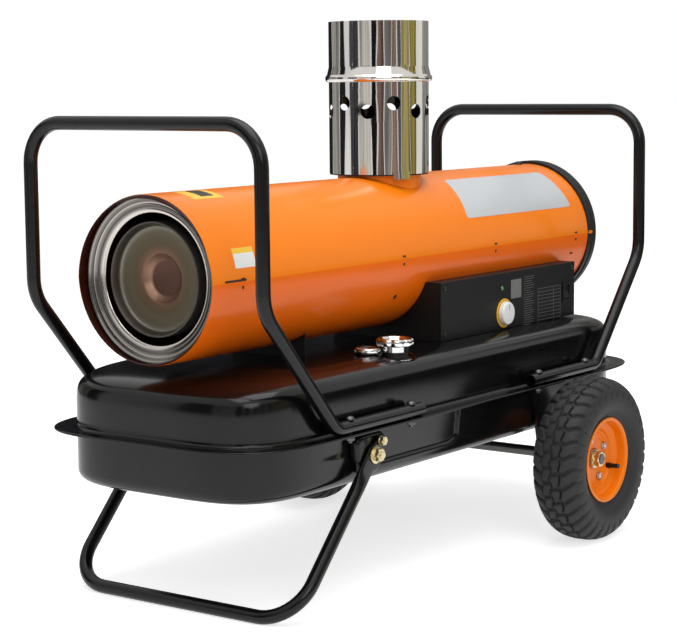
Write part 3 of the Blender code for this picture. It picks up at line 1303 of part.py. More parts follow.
def make_drive():
    """Motor with its foot, the pump on its front and the shaft through both."""
    bore = SHAFT_RADIUS + SHAFT_GAP
    edge = MOTOR_CHAMFER
    section = [(bore, 0), (MOTOR_RADIUS - edge, 0), (MOTOR_RADIUS, edge),
               (MOTOR_RADIUS, MOTOR_LENGTH - edge),
               (MOTOR_RADIUS - edge, MOTOR_LENGTH), (MOTOR_NOSE_RADIUS, MOTOR_LENGTH),
               (MOTOR_NOSE_RADIUS, MOTOR_LENGTH + MOTOR_NOSE_LENGTH),
               (bore, MOTOR_LENGTH + MOTOR_NOSE_LENGTH)]
    place("fan_motor", turned(section), CAST_METAL, (MOTOR_FRONT_X, 0, CASING_AXIS_Z), Z_TO_X)
    half = MOTOR_FOOT_HALF_WIDTH
    centre_z = CASING_AXIS_Z + ARC_DROP
    inner_radius = ARC_RADIUS - CASING_SHEET - HOLE_GAP
    swing = math.degrees(math.asin(half / inner_radius))
    lower = arc_points((0, centre_z), inner_radius, 270 - swing, 270 + swing, MOTOR_FOOT_ARC_STEPS)
    seat = MOTOR_RADIUS + HOLE_GAP
    upper_swing = math.degrees(math.asin(half / seat))
    upper = arc_points((0, CASING_AXIS_Z), seat, 270 + upper_swing, 270 - upper_swing, MOTOR_FOOT_ARC_STEPS)
    middle = MOTOR_FRONT_X + MOTOR_LENGTH / 2
    outline = lower + upper
    rings = [[(x, y, z) for y, z in outline] for x in (middle, middle + MOTOR_FOOT_SHEET)]
    place("motor_bracket", ribbon_even(rings, len(lower)), STEEL)
    pump_low = -SEAT_GAP - PUMP_LENGTH
    section = [(PUMP_PORT_RADIUS * 2, pump_low), (PUMP_RADIUS, pump_low + edge / 2),
               (PUMP_RADIUS, -SEAT_GAP), (bore, -SEAT_GAP), (bore, pump_low + edge),
               (PUMP_PORT_RADIUS, pump_low + edge)]
    body = turned(section, closed=False)
    pump = place("fuel_pump", body, CAST_METAL, (MOTOR_FRONT_X, 0, CASING_AXIS_Z), Z_TO_X)
    port = drum(PUMP_PORT_RADIUS, PUMP_RADIUS - edge / 2, PUMP_RADIUS + PUMP_PORT_LENGTH, COARSE_SIDES)
    fuse(pump, moved(port, (MOTOR_FRONT_X - PUMP_LENGTH / 2, 0, CASING_AXIS_Z), about("X", 180)))


def ribbon_even(rings, half_count):
    """Thick plate between two curves of equally many points."""
    return ribbon(rings, half_count)


def make_fan():
    """Shaft and five twisted blades on a hub."""
    start = MOTOR_FRONT_X - PUMP_LENGTH / 2
    end = FAN_X + FAN_HUB_LENGTH
    place("motor_shaft", drum(SHAFT_RADIUS, start, end), BRIGHT_ZINC, (0, 0, CASING_AXIS_Z), Z_TO_X)
    hub = ring_bar(SHAFT_RADIUS + SHAFT_GAP, FAN_HUB_RADIUS, 0, FAN_HUB_LENGTH)
    fan = place("fan_rotor", hub, BLACK_PLASTIC, (FAN_X, 0, CASING_AXIS_Z), Z_TO_X)
    blades = []
    for k in range(FAN_BLADE_COUNT):
        blade = fan_blade()
        blade.transform(about("Z", 360 * k / FAN_BLADE_COUNT))
        blades.append(blade)
    together = joined(blades)
    together.transform(Matrix.Translation(Vector((FAN_X, 0, CASING_AXIS_Z))) @ Z_TO_X)
    fuse(fan, together)


def fan_blade():
    """One blade along X round the Z axis, its pitch falling from root to tip."""
    root = (SHAFT_RADIUS + FAN_HUB_RADIUS) / 2
    rings = []
    for k in range(FAN_BLADE_STATIONS):
        share = k / (FAN_BLADE_STATIONS - 1)
        radius = root + (FAN_TIP_RADIUS - root) * share
        pitch = math.radians(FAN_PITCH_ROOT + (FAN_PITCH_TIP - FAN_PITCH_ROOT) * share)
        half = FAN_BLADE_CHORD / 2 * (FAN_BLADE_ROOT_SHARE + (1 - FAN_BLADE_ROOT_SHARE) * share)
        thin = FAN_BLADE_SHEET / 2
        along = Vector((0, math.cos(pitch), math.sin(pitch)))
        normal = Vector((0, -math.sin(pitch), math.cos(pitch)))
        middle = Vector((radius, 0, FAN_HUB_LENGTH / 2))
        rings.append([middle + along * half * a + normal * thin * b
                      for a, b in ((-1, -1), (1, -1), (1, 1), (-1, 1))])
    return outward(mesh_of(rings))


def make_guard():
    """Rear ring with a pressed grille of rings and spokes."""
    edge = GUARD_RADIUS - GUARD_SHEET
    wire = GUARD_WIRE_WIDTH
    span = edge - GUARD_EDGE - GUARD_HUB_RADIUS
    rings = [(GUARD_HUB_RADIUS / 3, GUARD_HUB_RADIUS)]
    for k in range(1, GUARD_RINGS):
        radius = GUARD_HUB_RADIUS + span * k / GUARD_RINGS
        rings.append((radius - wire / 2, radius + wire / 2))
    rings.append((edge - GUARD_EDGE, edge + GUARD_SHEET / 2))
    grille = spider(rings, GUARD_SPOKES, GUARD_SECTORS, GUARD_SPOKE_SHARE, GUARD_SHEET)
    back = CASING_BACK_X + GUARD_DEPTH
    here = (back - GUARD_SHEET, 0, CASING_AXIS_Z)
    guard = place("rear_guard", grille, SATIN_BLACK, here, Z_TO_X)
    front = CASING_BACK_X + SEAT_GAP
    lap = CASING_INNER_HALF_HEIGHT - HOLE_GAP
    inner = GUARD_RADIUS - GUARD_SHEET
    section = [(GUARD_RADIUS, front), (GUARD_RADIUS, back), (inner, back),
               (inner, front + GUARD_SHEET), (lap - GUARD_SHEET, front + GUARD_SHEET),
               (lap - GUARD_SHEET, front - GUARD_LAP), (lap, front - GUARD_LAP), (lap, front)]
    fuse(guard, moved(turned(section, GUARD_SECTORS), (0, 0, CASING_AXIS_Z), Z_TO_X))


# Control box

def make_control_box():
    """Box beside and under the casing, closed by the front panel."""
    low = (BOX_FRONT_X, PANEL_Y + SEAT_GAP, BOX_BOTTOM_Z)
    high = (BOX_BACK_X, BOX_FAR_Y, BOX_TOP_Z)
    piece = place("control_housing", block(low, high), SATIN_BLACK)
    sheet = BOX_SHEET
    hollow = block((low[0] + sheet, low[1] - CUT_OVERRUN, low[2] + sheet),
                   (high[0] - sheet, high[1] - sheet, high[2] - sheet))
    centre_z = CASING_AXIS_Z + ARC_DROP
    span = CUT_OVERRUN
    round_cut = drum(ARC_RADIUS + SEAT_GAP, BOX_FRONT_X - span, BOX_BACK_X + span, ARC_CUTTER_SIDES)
    gland = drum(GLAND_RADIUS + HOLE_GAP, BOX_BACK_X - CUT_OVERRUN, BOX_BACK_X + CUT_OVERRUN)
    cut(piece, hollow, moved(round_cut, (0, 0, centre_z), Z_TO_X),
        moved(gland, (0, GLAND_Y, GLAND_Z), Z_TO_X))
    panel = block((BOX_FRONT_X, BOX_NEAR_Y, BOX_BOTTOM_Z), (BOX_BACK_X, PANEL_Y, BOX_TOP_Z))
    piece = place("control_panel", panel, SATIN_BLACK)
    depth = CUT_OVERRUN
    knob = drum(KNOB_SHAFT_RADIUS + SHAFT_GAP, -depth, depth, COARSE_SIDES * 2)
    lamp = drum(LAMP_RADIUS + HOLE_GAP, -depth, depth, COARSE_SIDES * 2)
    half_w, half_h = SWITCH_WIDTH / 2 + HOLE_GAP, SWITCH_HEIGHT / 2 + HOLE_GAP
    window = block((SWITCH_X - half_w, BOX_NEAR_Y - depth, SWITCH_Z - half_h),
                   (SWITCH_X + half_w, PANEL_Y + depth, SWITCH_Z + half_h))
    cut(piece, moved(knob, (KNOB_X, BOX_NEAR_Y, KNOB_Z), Z_TO_NEAR),
        moved(lamp, (LAMP_X, BOX_NEAR_Y, LAMP_Z), Z_TO_NEAR), window)


def make_controls():
    """Dial, knob, lamp, rocker switch, circuit board and cable gland."""
    front = BOX_NEAR_Y - SEAT_GAP
    dial = ring_bar(DIAL_BORE_RADIUS, DIAL_RADIUS, 0, DIAL_SHEET)
    place("dial_ring", dial, YELLOW_PLASTIC, (KNOB_X, front, KNOB_Z), Z_TO_NEAR)
    base = DIAL_SHEET + SEAT_GAP
    tail = -KNOB_SHAFT_LENGTH
    section = [(KNOB_SHAFT_RADIUS, tail), (KNOB_SHAFT_RADIUS, base), (KNOB_RADIUS, base),
               (KNOB_RADIUS, base + KNOB_TAPER),
               (KNOB_RADIUS - KNOB_TAPER, base + KNOB_HEIGHT - KNOB_TAPER),
               (KNOB_RADIUS - 2 * KNOB_TAPER, base + KNOB_HEIGHT)]
    knob = turned(section, closed=False)
    place("thermostat_knob", knob, WHITE_PLASTIC, (KNOB_X, front, KNOB_Z), Z_TO_NEAR)
    rim = LAMP_RADIUS + LAMP_RIM
    section = [(LAMP_RADIUS, -LAMP_TAIL), (LAMP_RADIUS, 0), (rim, 0), (rim, LAMP_RIM / 2),
               (LAMP_RADIUS, LAMP_RIM), (LAMP_RADIUS / 2, LAMP_PROUD)]
    place("pilot_lamp", turned(section, COARSE_SIDES * 2, closed=False), GREEN_LENS,
          (LAMP_X, front, LAMP_Z), Z_TO_NEAR)
    make_switch(front)
    make_board()
    section = [(GLAND_BORE_RADIUS, -GLAND_TAIL), (GLAND_RADIUS, -GLAND_TAIL), (GLAND_RADIUS, 0),
               (GLAND_FLANGE_RADIUS, 0), (GLAND_FLANGE_RADIUS, GLAND_FLANGE_SHEET),
               (GLAND_RADIUS, GLAND_FLANGE_SHEET), (GLAND_BORE_RADIUS * GLAND_MOUTH_SHARE, GLAND_LENGTH),
               (GLAND_BORE_RADIUS, GLAND_LENGTH)]
    place("cable_gland", turned(section), BLACK_PLASTIC, (BOX_BACK_X + SEAT_GAP, GLAND_Y, GLAND_Z), Z_TO_X)


def make_switch(front):
    """Frame snapped into the panel and the rocker that tips in it."""
    half_w, half_h = SWITCH_WIDTH / 2, SWITCH_HEIGHT / 2
    rim = SWITCH_RIM
    body = block((-half_w, -SWITCH_DEPTH, -half_h), (half_w, 0, half_h))
    body.transform(Matrix.Translation(Vector((SWITCH_X, front + SWITCH_DEPTH, SWITCH_Z))))
    frame = place("switch_frame", body, BLACK_PLASTIC)
    fuse(frame, block((SWITCH_X - half_w - rim, front - SWITCH_RIM_PROUD, SWITCH_Z - half_h - rim),
                      (SWITCH_X + half_w + rim, front, SWITCH_Z + half_h + rim)))
    wall = SWITCH_WALL
    cut(frame, block((SWITCH_X - half_w + wall, front - CUT_OVERRUN, SWITCH_Z - half_h + wall),
                     (SWITCH_X + half_w - wall, front + SWITCH_DEPTH - wall, SWITCH_Z + half_h - wall)))
    gap = ROCKER_SIDE_GAP
    wide = half_w - wall - gap
    tall = (half_h - wall - gap) * math.cos(math.radians(ROCKER_TILT)) - ROCKER_DEPTH * math.sin(
        math.radians(ROCKER_TILT)) / 2
    slope = math.tan(math.radians(ROCKER_TILT))
    edge = -ROCKER_PROUD - tall * slope / 2
    outline = [(-tall, ROCKER_DEPTH / 2), (tall, ROCKER_DEPTH / 2), (tall, edge), (0, -ROCKER_PROUD),
               (-tall, edge)]
    rings = [[(x, y, z) for z, y in outline] for x in (-wide, wide)]
    rocker = outward(mesh_of(rings))
    rocker.transform(about("X", -ROCKER_TILT))
    place("switch_rocker", rocker, BLACK_PLASTIC, (SWITCH_X, front + ROCKER_DEPTH / 2, SWITCH_Z))


def make_board():
    """Control board on four pegs that stand on the housing's back wall."""
    back = BOX_FAR_Y - BOX_SHEET
    centre_z = CASING_AXIS_Z + ARC_DROP
    floor = BOX_BOTTOM_Z + BOX_SHEET + SEAT_GAP
    low_z = floor + BOARD_STANDOFF
    x0, x1 = BOARD_START_X, BOARD_START_X + BOARD_LENGTH
    y0 = PANEL_Y + (-BOX_NEAR_Y - ARC_DROP) * BOARD_BLOCK_SHARE / 2
    y1 = y0 + BOARD_HEIGHT
    board = place("control_board", block((x0, y0, low_z), (x1, y1, low_z + BOARD_SHEET)), BOARD_GREEN)
    pegs = []
    for x in (x0 + BOARD_PEG_INSET, x1 - BOARD_PEG_INSET):
        for y in (y0 + BOARD_PEG_INSET, y1 - BOARD_PEG_INSET):
            peg = drum(BOARD_PEG_RADIUS, floor, low_z + BOARD_SHEET * BOARD_PEG_RISE_SHARE, COARSE_SIDES)
            pegs.append(moved(peg, (x, y, 0)))
    width = BOARD_LENGTH * BOARD_BLOCK_SHARE
    lump = block((x0 + width, y0 + BOARD_PEG_INSET * 2, low_z + BOARD_SHEET / 2),
                 (x0 + width * 2, y1 - BOARD_PEG_INSET * 2, low_z + BOARD_BLOCK_HEIGHT))
    fuse(board, joined(pegs), lump)


# Filler and gauge

def make_filler():
    """Neck in the tank's boss and the lobed cap on it."""
    radius, wall = FILLER_NECK_RADIUS, FILLER_NECK_WALL
    rim_top = SEAT_GAP + FILLER_FLANGE_SHEET
    section = [(radius, -FILLER_NECK_DEPTH), (radius, SEAT_GAP), (FILLER_FLANGE_RADIUS, SEAT_GAP),
               (FILLER_FLANGE_RADIUS, rim_top), (radius, rim_top),
               (radius, FILLER_NECK_RISE), (radius - wall, FILLER_NECK_RISE),
               (radius - wall, -FILLER_NECK_DEPTH)]
    place("filler_neck", turned(section), BLACK_PLASTIC, (FILLER_X, FILLER_Y, FILLER_SEAT_Z))
    top = FILLER_NECK_RISE + SEAT_GAP
    sides = CAP_LOBES * CAP_LOBE_STEPS
    heights = [(CAP_SKIRT_RADIUS, top - CAP_SKIRT, 0), (CAP_SKIRT_RADIUS, top, 0),
               (CAP_RADIUS, top, 1), (CAP_RADIUS, top + CAP_HEIGHT - CAP_WALL, 1),
               (CAP_RADIUS - CAP_WALL, top + CAP_HEIGHT, 1)]
    inner = CAP_SKIRT_RADIUS - CAP_WALL
    heights = heights[::-1] + [(inner, top - CAP_SKIRT, 0), (inner, top, 0)]
    rings = []
    for base, height, lobed in heights:
        ring = []
        for k in range(sides):
            angle = 2 * math.pi * k / sides
            reach = base - lobed * CAP_LOBE_DEPTH * math.sin(CAP_LOBES * angle / 2) ** 4
            ring.append((reach * math.cos(angle), reach * math.sin(angle), height))
        rings.append(ring)
    place("filler_cap", outward(mesh_of(rings)), CHROME, (FILLER_X, FILLER_Y, FILLER_SEAT_Z))


def make_gauge():
    """Fuel gauge body with a dished face and its needle."""
    seat = TANK_PLATEAU_Z + SEAT_GAP
    face = GAUGE_HEIGHT - GAUGE_FACE_DEPTH
    section = [(GAUGE_STEM_RADIUS, -GAUGE_STEM_DEPTH), (GAUGE_STEM_RADIUS, 0),
               (GAUGE_RADIUS - GAUGE_FACE_DEPTH, 0), (GAUGE_RADIUS, GAUGE_FACE_DEPTH),
               (GAUGE_RADIUS, GAUGE_HEIGHT - GAUGE_FACE_DEPTH / 2),
               (GAUGE_RADIUS - GAUGE_FACE_DEPTH / 2, GAUGE_HEIGHT), (GAUGE_FACE_RADIUS, GAUGE_HEIGHT),
               (GAUGE_FACE_RADIUS, face), (GAUGE_PIVOT_RADIUS, face),
               (GAUGE_PIVOT_RADIUS, face + NEEDLE_SHEET)]
    place("gauge_body", turned(section, closed=False), CHROME, (GAUGE_X, GAUGE_Y, seat))
    outline = [(-NEEDLE_HUB_RADIUS * 2, -NEEDLE_HALF_WIDTH), (NEEDLE_LENGTH, -NEEDLE_HALF_WIDTH / 2),
               (NEEDLE_LENGTH, NEEDLE_HALF_WIDTH / 2), (-NEEDLE_HUB_RADIUS * 2, NEEDLE_HALF_WIDTH)]
    turn = about("Z", NEEDLE_REST_ANGLE)
    low = seat + face + SEAT_GAP
    needle = place("gauge_needle", extruded(outline, 0, NEEDLE_SHEET), RED_PLASTIC,
                   (GAUGE_X, GAUGE_Y, low), turn)
    here = Matrix.Translation(Vector((GAUGE_X, GAUGE_Y, low)))
    hub = drum(NEEDLE_HUB_RADIUS, 0, NEEDLE_SHEET, COARSE_SIDES)
    hub.transform(here)
    fuse(needle, hub)
    bore = drum(GAUGE_PIVOT_RADIUS + SHAFT_GAP, -CUT_OVERRUN, CUT_OVERRUN, COARSE_SIDES)
    bore.transform(here)
    cut(needle, bore)


make_tank()
make_hoops()
make_foot_bolts()
for side_name, side_sign in NEAR_AND_FAR:
    make_wheel(side_name, side_sign)
make_axle()
make_axle_brackets()
make_leg()
make_leg_brackets()
make_leg_bolts()
make_casing()
make_outlet()
make_heat_exchanger()
make_supports()
make_burner()
make_flue()
make_drive()
make_fan()
make_guard()
make_control_box()
make_controls()
make_filler()
make_gauge()
print("pieces:", sum(1 for piece in bpy.data.objects if not piece.hide_render))
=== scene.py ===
import math

import bmesh
import bpy
import numpy as np
from mathutils import Matrix, Vector


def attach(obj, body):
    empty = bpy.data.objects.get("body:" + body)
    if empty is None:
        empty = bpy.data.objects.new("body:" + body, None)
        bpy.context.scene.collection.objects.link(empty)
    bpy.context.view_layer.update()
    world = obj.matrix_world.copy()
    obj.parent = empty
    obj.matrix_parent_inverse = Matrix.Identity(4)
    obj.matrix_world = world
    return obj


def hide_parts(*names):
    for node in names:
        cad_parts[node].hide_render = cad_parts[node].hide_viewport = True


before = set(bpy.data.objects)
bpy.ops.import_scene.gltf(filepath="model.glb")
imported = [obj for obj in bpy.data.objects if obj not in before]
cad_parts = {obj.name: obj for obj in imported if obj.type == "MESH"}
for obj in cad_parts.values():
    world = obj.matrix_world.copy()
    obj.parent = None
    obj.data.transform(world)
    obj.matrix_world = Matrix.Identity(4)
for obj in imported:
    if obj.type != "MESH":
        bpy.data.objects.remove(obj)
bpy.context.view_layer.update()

MM = 0.001


def mm(points):
    """Points written in millimetres, as an array in metres."""
    return np.array(points, float) * MM


# %% [markdown]
# ## Surfaces on a grid
# Nearly every piece here is bent or turned sheet metal. Such a shape is a
# function of two parameters, so its points form a grid of rows and columns, and
# its faces are the quads between neighbours. Working on whole arrays keeps the
# code short and lets a smooth shape have thousands of points.
# %% Grid helpers
def grid_faces(rows, columns, wrap_rows=False, wrap_columns=True):
    """Quads between neighbouring points: (r, c), (r, c+1), (r+1, c+1), (r+1, c)."""
    r = np.arange(rows if wrap_rows else rows - 1)
    c = np.arange(columns if wrap_columns else columns - 1)
    r, c = np.meshgrid(r, c, indexing="ij")
    after_r, after_c = (r + 1) % rows, (c + 1) % columns
    quads = np.stack([r * columns + c, r * columns + after_c,
                      after_r * columns + after_c, after_r * columns + c], -1)
    return quads.reshape(-1, 4)


def surface(points, wrap_rows=False, wrap_columns=True):
    """A (rows, columns, 3) array as a flat list of points with its quads."""
    rows, columns = points.shape[:2]
    return points.reshape(-1, 3), grid_faces(rows, columns, wrap_rows, wrap_columns)


def capped(rings):
    """Rings that end in a closed cap: one more ring at each end, drawn to its middle."""
    middles = rings.mean(1, keepdims=True).repeat(rings.shape[1], 1)
    return surface(np.concatenate([middles[:1], rings, middles[-1:]]))


def facing_out(points, faces):
    """Turn the quads round if they enclose a negative volume about their middle."""
    middle = points.mean(0)
    a, b, c, d = (points[faces[:, k]] - middle for k in range(4))
    volume = np.einsum("ij,ij->", a, np.cross(b, c)) + np.einsum("ij,ij->", a, np.cross(c, d))
    return faces if volume > 0 else faces[:, ::-1]


def facing_away(part, centre, weight=(1, 1, 1)):
    """Turn an open sheet's quads so that weight times their normals points away from a centre."""
    points, faces = part
    a, b, c = (points[faces[:, k]] for k in range(3))
    outward = np.einsum("ij,ij->", np.cross(b - a, c - a) * weight, a - centre)
    return points, (faces if outward > 0 else faces[:, ::-1])


def joined(parts):
    """Several grids as one list of points and one of quads."""
    starts = np.cumsum([0] + [len(points) for points, faces in parts])
    faces = [faces + start for (points, faces), start in zip(parts, starts)]
    return np.concatenate([points for points, faces in parts]), np.concatenate(faces)


print("a 3 by 4 closed grid has", len(grid_faces(3, 4)), "quads")


# %% [markdown]
# ## From arrays to pieces
# A piece may be made of several grids, such as a nut with its washer. Each grid
# is turned to face outward, all are put in one mesh, and points that coincide
# are merged so that poles and seams close. The piece then rides on its body,
# stands for its plain solid and takes the finish it is given.
# %% Piece helper
made_pieces = []
SAME_POINT = 0.01 * MM


def keep_rims_sharp(mesh):
    """Mark the edges that have only one face as sharp, so a sheet's rim doesn't shade its wall."""
    edge_of_corner = np.empty(len(mesh.loops), np.int32)
    mesh.loops.foreach_get("edge_index", edge_of_corner)
    rim = np.bincount(edge_of_corner, minlength=len(mesh.edges)) == 1
    mark = mesh.attributes.get("sharp_edge") or mesh.attributes.new("sharp_edge", "BOOLEAN", "EDGE")
    sharp = np.zeros(len(mesh.edges), bool)
    mark.data.foreach_get("value", sharp)
    mark.data.foreach_set("value", sharp | rim)


def piece(name, parts, material, body="frame", replaces=(), smooth=35, wall=0.0):
    """Put grids in one mesh object; wall is a sheet thickness added on the inside."""
    points, faces = joined([(points, facing_out(points, faces)) for points, faces in parts])
    mesh = bpy.data.meshes.new(name)
    mesh.from_pydata(points, [], faces.tolist())
    work = bmesh.new()
    work.from_mesh(mesh)
    bmesh.ops.remove_doubles(work, verts=work.verts, dist=SAME_POINT)
    bmesh.ops.dissolve_degenerate(work, edges=work.edges, dist=SAME_POINT / 10)
    work.to_mesh(mesh)
    work.free()
    mesh.materials.append(material)
    mesh.shade_smooth()
    mesh.set_sharp_from_angle(angle=math.radians(smooth))
    keep_rims_sharp(mesh)
    made = bpy.data.objects.new(name, mesh)
    bpy.context.scene.collection.objects.link(made)
    if wall:
        sheet = made.modifiers.new("sheet", "SOLIDIFY")
        sheet.thickness, sheet.offset, sheet.use_even_offset = wall, -1, True
    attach(made, body)
    if replaces:
        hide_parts(*replaces)
    made_pieces.append(made)
    return made


# %% [markdown]
# ## Turned, swept and rounded forms
# A lathe shape is a profile of (radius, height) turned round an axis. A bent
# tube is a ring carried along a path. Real corners are never sharp, so a corner
# helper replaces each one by a short curve.
# %% Form helpers
def rounded(corners, reach, steps=4, closed=True):
    """Replace each corner by the curve (1-t)^2 a + 2t(1-t) corner + t^2 b.

    a and b lie on the two sides, reach away from the corner or at most 45 %
    of the way along the side.
    """
    corners = np.asarray(corners, float)
    reach = np.broadcast_to(np.asarray(reach, float), len(corners))[:, None]
    before, after = np.roll(corners, 1, 0) - corners, np.roll(corners, -1, 0) - corners
    length_b = np.linalg.norm(before, axis=1, keepdims=True)
    length_a = np.linalg.norm(after, axis=1, keepdims=True)
    a = corners + before * np.minimum(reach / length_b, 0.45)
    b = corners + after * np.minimum(reach / length_a, 0.45)
    t = np.linspace(0, 1, steps + 1)[None, :, None]
    curves = (1 - t) ** 2 * a[:, None] + 2 * t * (1 - t) * corners[:, None] + t ** 2 * b[:, None]
    if closed:
        return curves.reshape(-1, corners.shape[1])
    inner = curves[1:-1].reshape(-1, corners.shape[1])
    return np.concatenate([corners[:1], inner, corners[-1:]])


def lathe(profile, columns=96, closed=True):
    """x = r cos t, y = r sin t, z = h for every profile point and angle t."""
    profile = np.asarray(profile, float)
    t = np.linspace(0, 2 * np.pi, columns, endpoint=False)
    points = np.empty((len(profile), columns, 3))
    points[..., 0] = profile[:, :1] * np.cos(t)
    points[..., 1] = profile[:, :1] * np.sin(t)
    points[..., 2] = profile[:, 1:]
    return surface(points, wrap_rows=closed)


def hexagonal(radius, low, high, chamfer=0.6, bore=0.0, columns=48):
    """A nut in millimetres: the circle becomes a hexagon, r = R cos 30 / cos(t mod 60 - 30)."""
    t = np.linspace(0, 2 * np.pi, columns, endpoint=False)
    flat = math.cos(math.pi / 6) / np.cos(t % (math.pi / 3) - math.pi / 6)
    rows = [(bore, low, 0), (radius - chamfer, low, 0.5), (radius, low + chamfer, 1),
            (radius, high - chamfer, 1), (radius * 0.87, high, 0), (bore, high, 0)]
    points = np.empty((len(rows), columns, 3))
    for row, (reach, height, share) in enumerate(rows):
        r = reach * (1 + share * (flat - 1))
        points[row] = np.stack([r * np.cos(t), r * np.sin(t), np.full(columns, height)], -1) * MM
    return surface(points, wrap_rows=bore > 0)


AXES = {
    "+Z": np.eye(3),
    "+X": np.array([[0, 0, 1], [0, 1, 0], [-1, 0, 0.0]]),
    "-Y": np.array([[1, 0, 0], [0, 0, -1], [0, 1, 0.0]]),
    "+Y": np.array([[1, 0, 0], [0, 0, 1], [0, -1, 0.0]]),
}


def stand(part, axis, place=(0, 0, 0)):
    """Turn a form's own Z to an axis of the heater and move it to its place."""
    points, faces = part
    return points @ AXES[axis].T + np.asarray(place, float), faces


def turned(profile, axis, place, columns=64, soft=0.0, steps=2, closed=True):
    """A lathe form from a profile in millimetres, corners rounded by soft, stood at its place."""
    profile = mm(profile)
    if soft:
        profile = rounded(profile, soft * MM, steps, closed)
    return stand(lathe(profile, columns, closed), axis, place)


def route(corners, bends, step=7.5):
    """Path through corners, each rounded by a circular bend of its own radius."""
    corners = np.asarray(corners, float)
    path = [corners[0]]
    for before, corner, after, bend in zip(corners, corners[1:], corners[2:], bends):
        into = (corner - before) / np.linalg.norm(corner - before)
        out = (after - corner) / np.linalg.norm(after - corner)
        turn = math.acos(into @ out)
        side = out - into * (into @ out)
        side /= np.linalg.norm(side)
        start = corner - into * bend * math.tan(turn / 2)
        angle = np.linspace(0, turn, max(3, round(math.degrees(turn) / step) + 1))[:, None]
        path.extend(start + side * bend + (into * np.sin(angle) - side * np.cos(angle)) * bend)
    path.append(corners[-1])
    return np.array(path)


def along(path, sections, normal=(0.3, 0.9, 0.1)):
    """Carry sections of (side, up) offsets along a path without twist.

    The side direction starts as normal and is turned from station to station by
    the least turn that follows the path.
    """
    ahead = np.gradient(path, axis=0)
    ahead /= np.linalg.norm(ahead, axis=1, keepdims=True)
    side = np.zeros_like(path)
    first = np.asarray(normal, float)
    for k, direction in enumerate(ahead):
        first = first - direction * (first @ direction)
        first /= np.linalg.norm(first)
        side[k] = first
    up = np.cross(ahead, side)
    sections = np.broadcast_to(sections, (len(path),) + np.shape(sections)[-2:])
    return path[:, None] + side[:, None] * sections[..., :1] + up[:, None] * sections[..., 1:]


def circle(radius, columns=24):
    """(r cos t, r sin t)."""
    t = np.linspace(0, 2 * np.pi, columns, endpoint=False)
    return radius * np.stack([np.cos(t), np.sin(t)], -1)


def soft_step(value, low, high):
    """3t^2 - 2t^3 between low and high."""
    t = np.clip((value - low) / (high - low), 0, 1)
    return t * t * (3 - 2 * t)


quarter = route([(0, 0, 0), (1, 0, 0), (1, 1, 0)], [0.055])
print("helpers ready; a 90 degree bend of 55 mm has", len(quarter), "points")


# %% [markdown]
# ## Finishes: wiring by name
# A material is a graph of nodes. Spelling out every link hides what the graph
# says, so a node is added together with what feeds it: each input is given a
# value, or the socket of an earlier node that it is linked to.
# %% Node helpers
def feed(node, inputs):
    """Set each named input to its value, or link it to the socket given for it."""
    for label, value in inputs.items():
        if isinstance(value, bpy.types.NodeSocket):
            node.id_data.links.new(value, node.inputs[label])
        else:
            node.inputs[label].default_value = value


def add_node(tree, kind, inputs, **settings):
    """A new shader node with its settings made and its inputs fed; returns its outputs."""
    node = tree.nodes.new("ShaderNode" + kind)
    for label, value in settings.items():
        setattr(node, label, value)
    feed(node, inputs)
    return node.outputs


def add_math(tree, operation, *values):
    """One step of arithmetic on values or sockets; returns its result's socket."""
    return add_node(tree, "Math", dict(enumerate(values)), operation=operation)[0]


def add_vector(tree, operation, *values):
    """One step of vector arithmetic; returns its outputs, Vector and Value."""
    return add_node(tree, "VectorMath", dict(enumerate(values)), operation=operation)


def add_noise(tree, place, scale, detail):
    """Soft noise between 0 and 1 at a place; returns its value's socket."""
    return add_node(tree, "TexNoise", {"Vector": place, "Scale": scale, "Detail": detail})["Fac"]


def add_ramp(tree, factor, stops):
    """A colour ramp through (position, colour) stops; returns its colour's socket."""
    node = tree.nodes.new("ShaderNodeValToRGB")
    elements = node.color_ramp.elements
    while len(elements) < len(stops):
        elements.new(0.5)
    for element, (position, colour) in zip(elements, stops):
        element.position, element.color = position, (*colour, 1)
    feed(node, {"Fac": factor})
    return node.outputs["Color"]


def object_place(tree):
    """The point's place on the heater, which the patterns follow."""
    return add_node(tree, "TexCoord", {})["Object"]


def new_group(name, inputs, outputs):
    """An empty group with number sockets; returns it, what it is given and what it gives."""
    group = bpy.data.node_groups.new(name, "ShaderNodeTree")
    for label, value in inputs.items():
        socket = group.interface.new_socket(label, in_out="INPUT", socket_type="NodeSocketFloat")
        socket.default_value = value
    for label in outputs:
        group.interface.new_socket(label, in_out="OUTPUT", socket_type="NodeSocketFloat")
    return group, group.nodes.new("NodeGroupInput").outputs, group.nodes.new("NodeGroupOutput")


print("node helpers ready")


# %% [markdown]
# ## Finishes: one shared effect
# Paint, plastic and rubber are never perfectly even. One node group gives every
# finish its unevenness: soft cloudy noise for the shine and finer noise for the
# height. It is built once, and each material places it with its own numbers.
# %% Mottle group
def mottle_group():
    """Value = middle + spread (noise - 0.5), Cloud = the same noise, Height = fine noise."""
    usual = {"Cloud Scale": 12.0, "Grain Scale": 900.0, "Middle": 0.3, "Spread": 0.1}
    group, given, gives = new_group("mottle", usual, ("Value", "Cloud", "Height"))
    place = object_place(group)
    cloud = add_noise(group, place, given["Cloud Scale"], 3.0)
    grain = add_noise(group, place, given["Grain Scale"], 2.0)
    swing = add_math(group, "MULTIPLY", add_math(group, "SUBTRACT", cloud, 0.5), given["Spread"])
    feed(gives, {"Value": add_math(group, "ADD", swing, given["Middle"]), "Cloud": cloud, "Height": grain})
    return group


MOTTLE = mottle_group()
print("shared group:", MOTTLE.name)


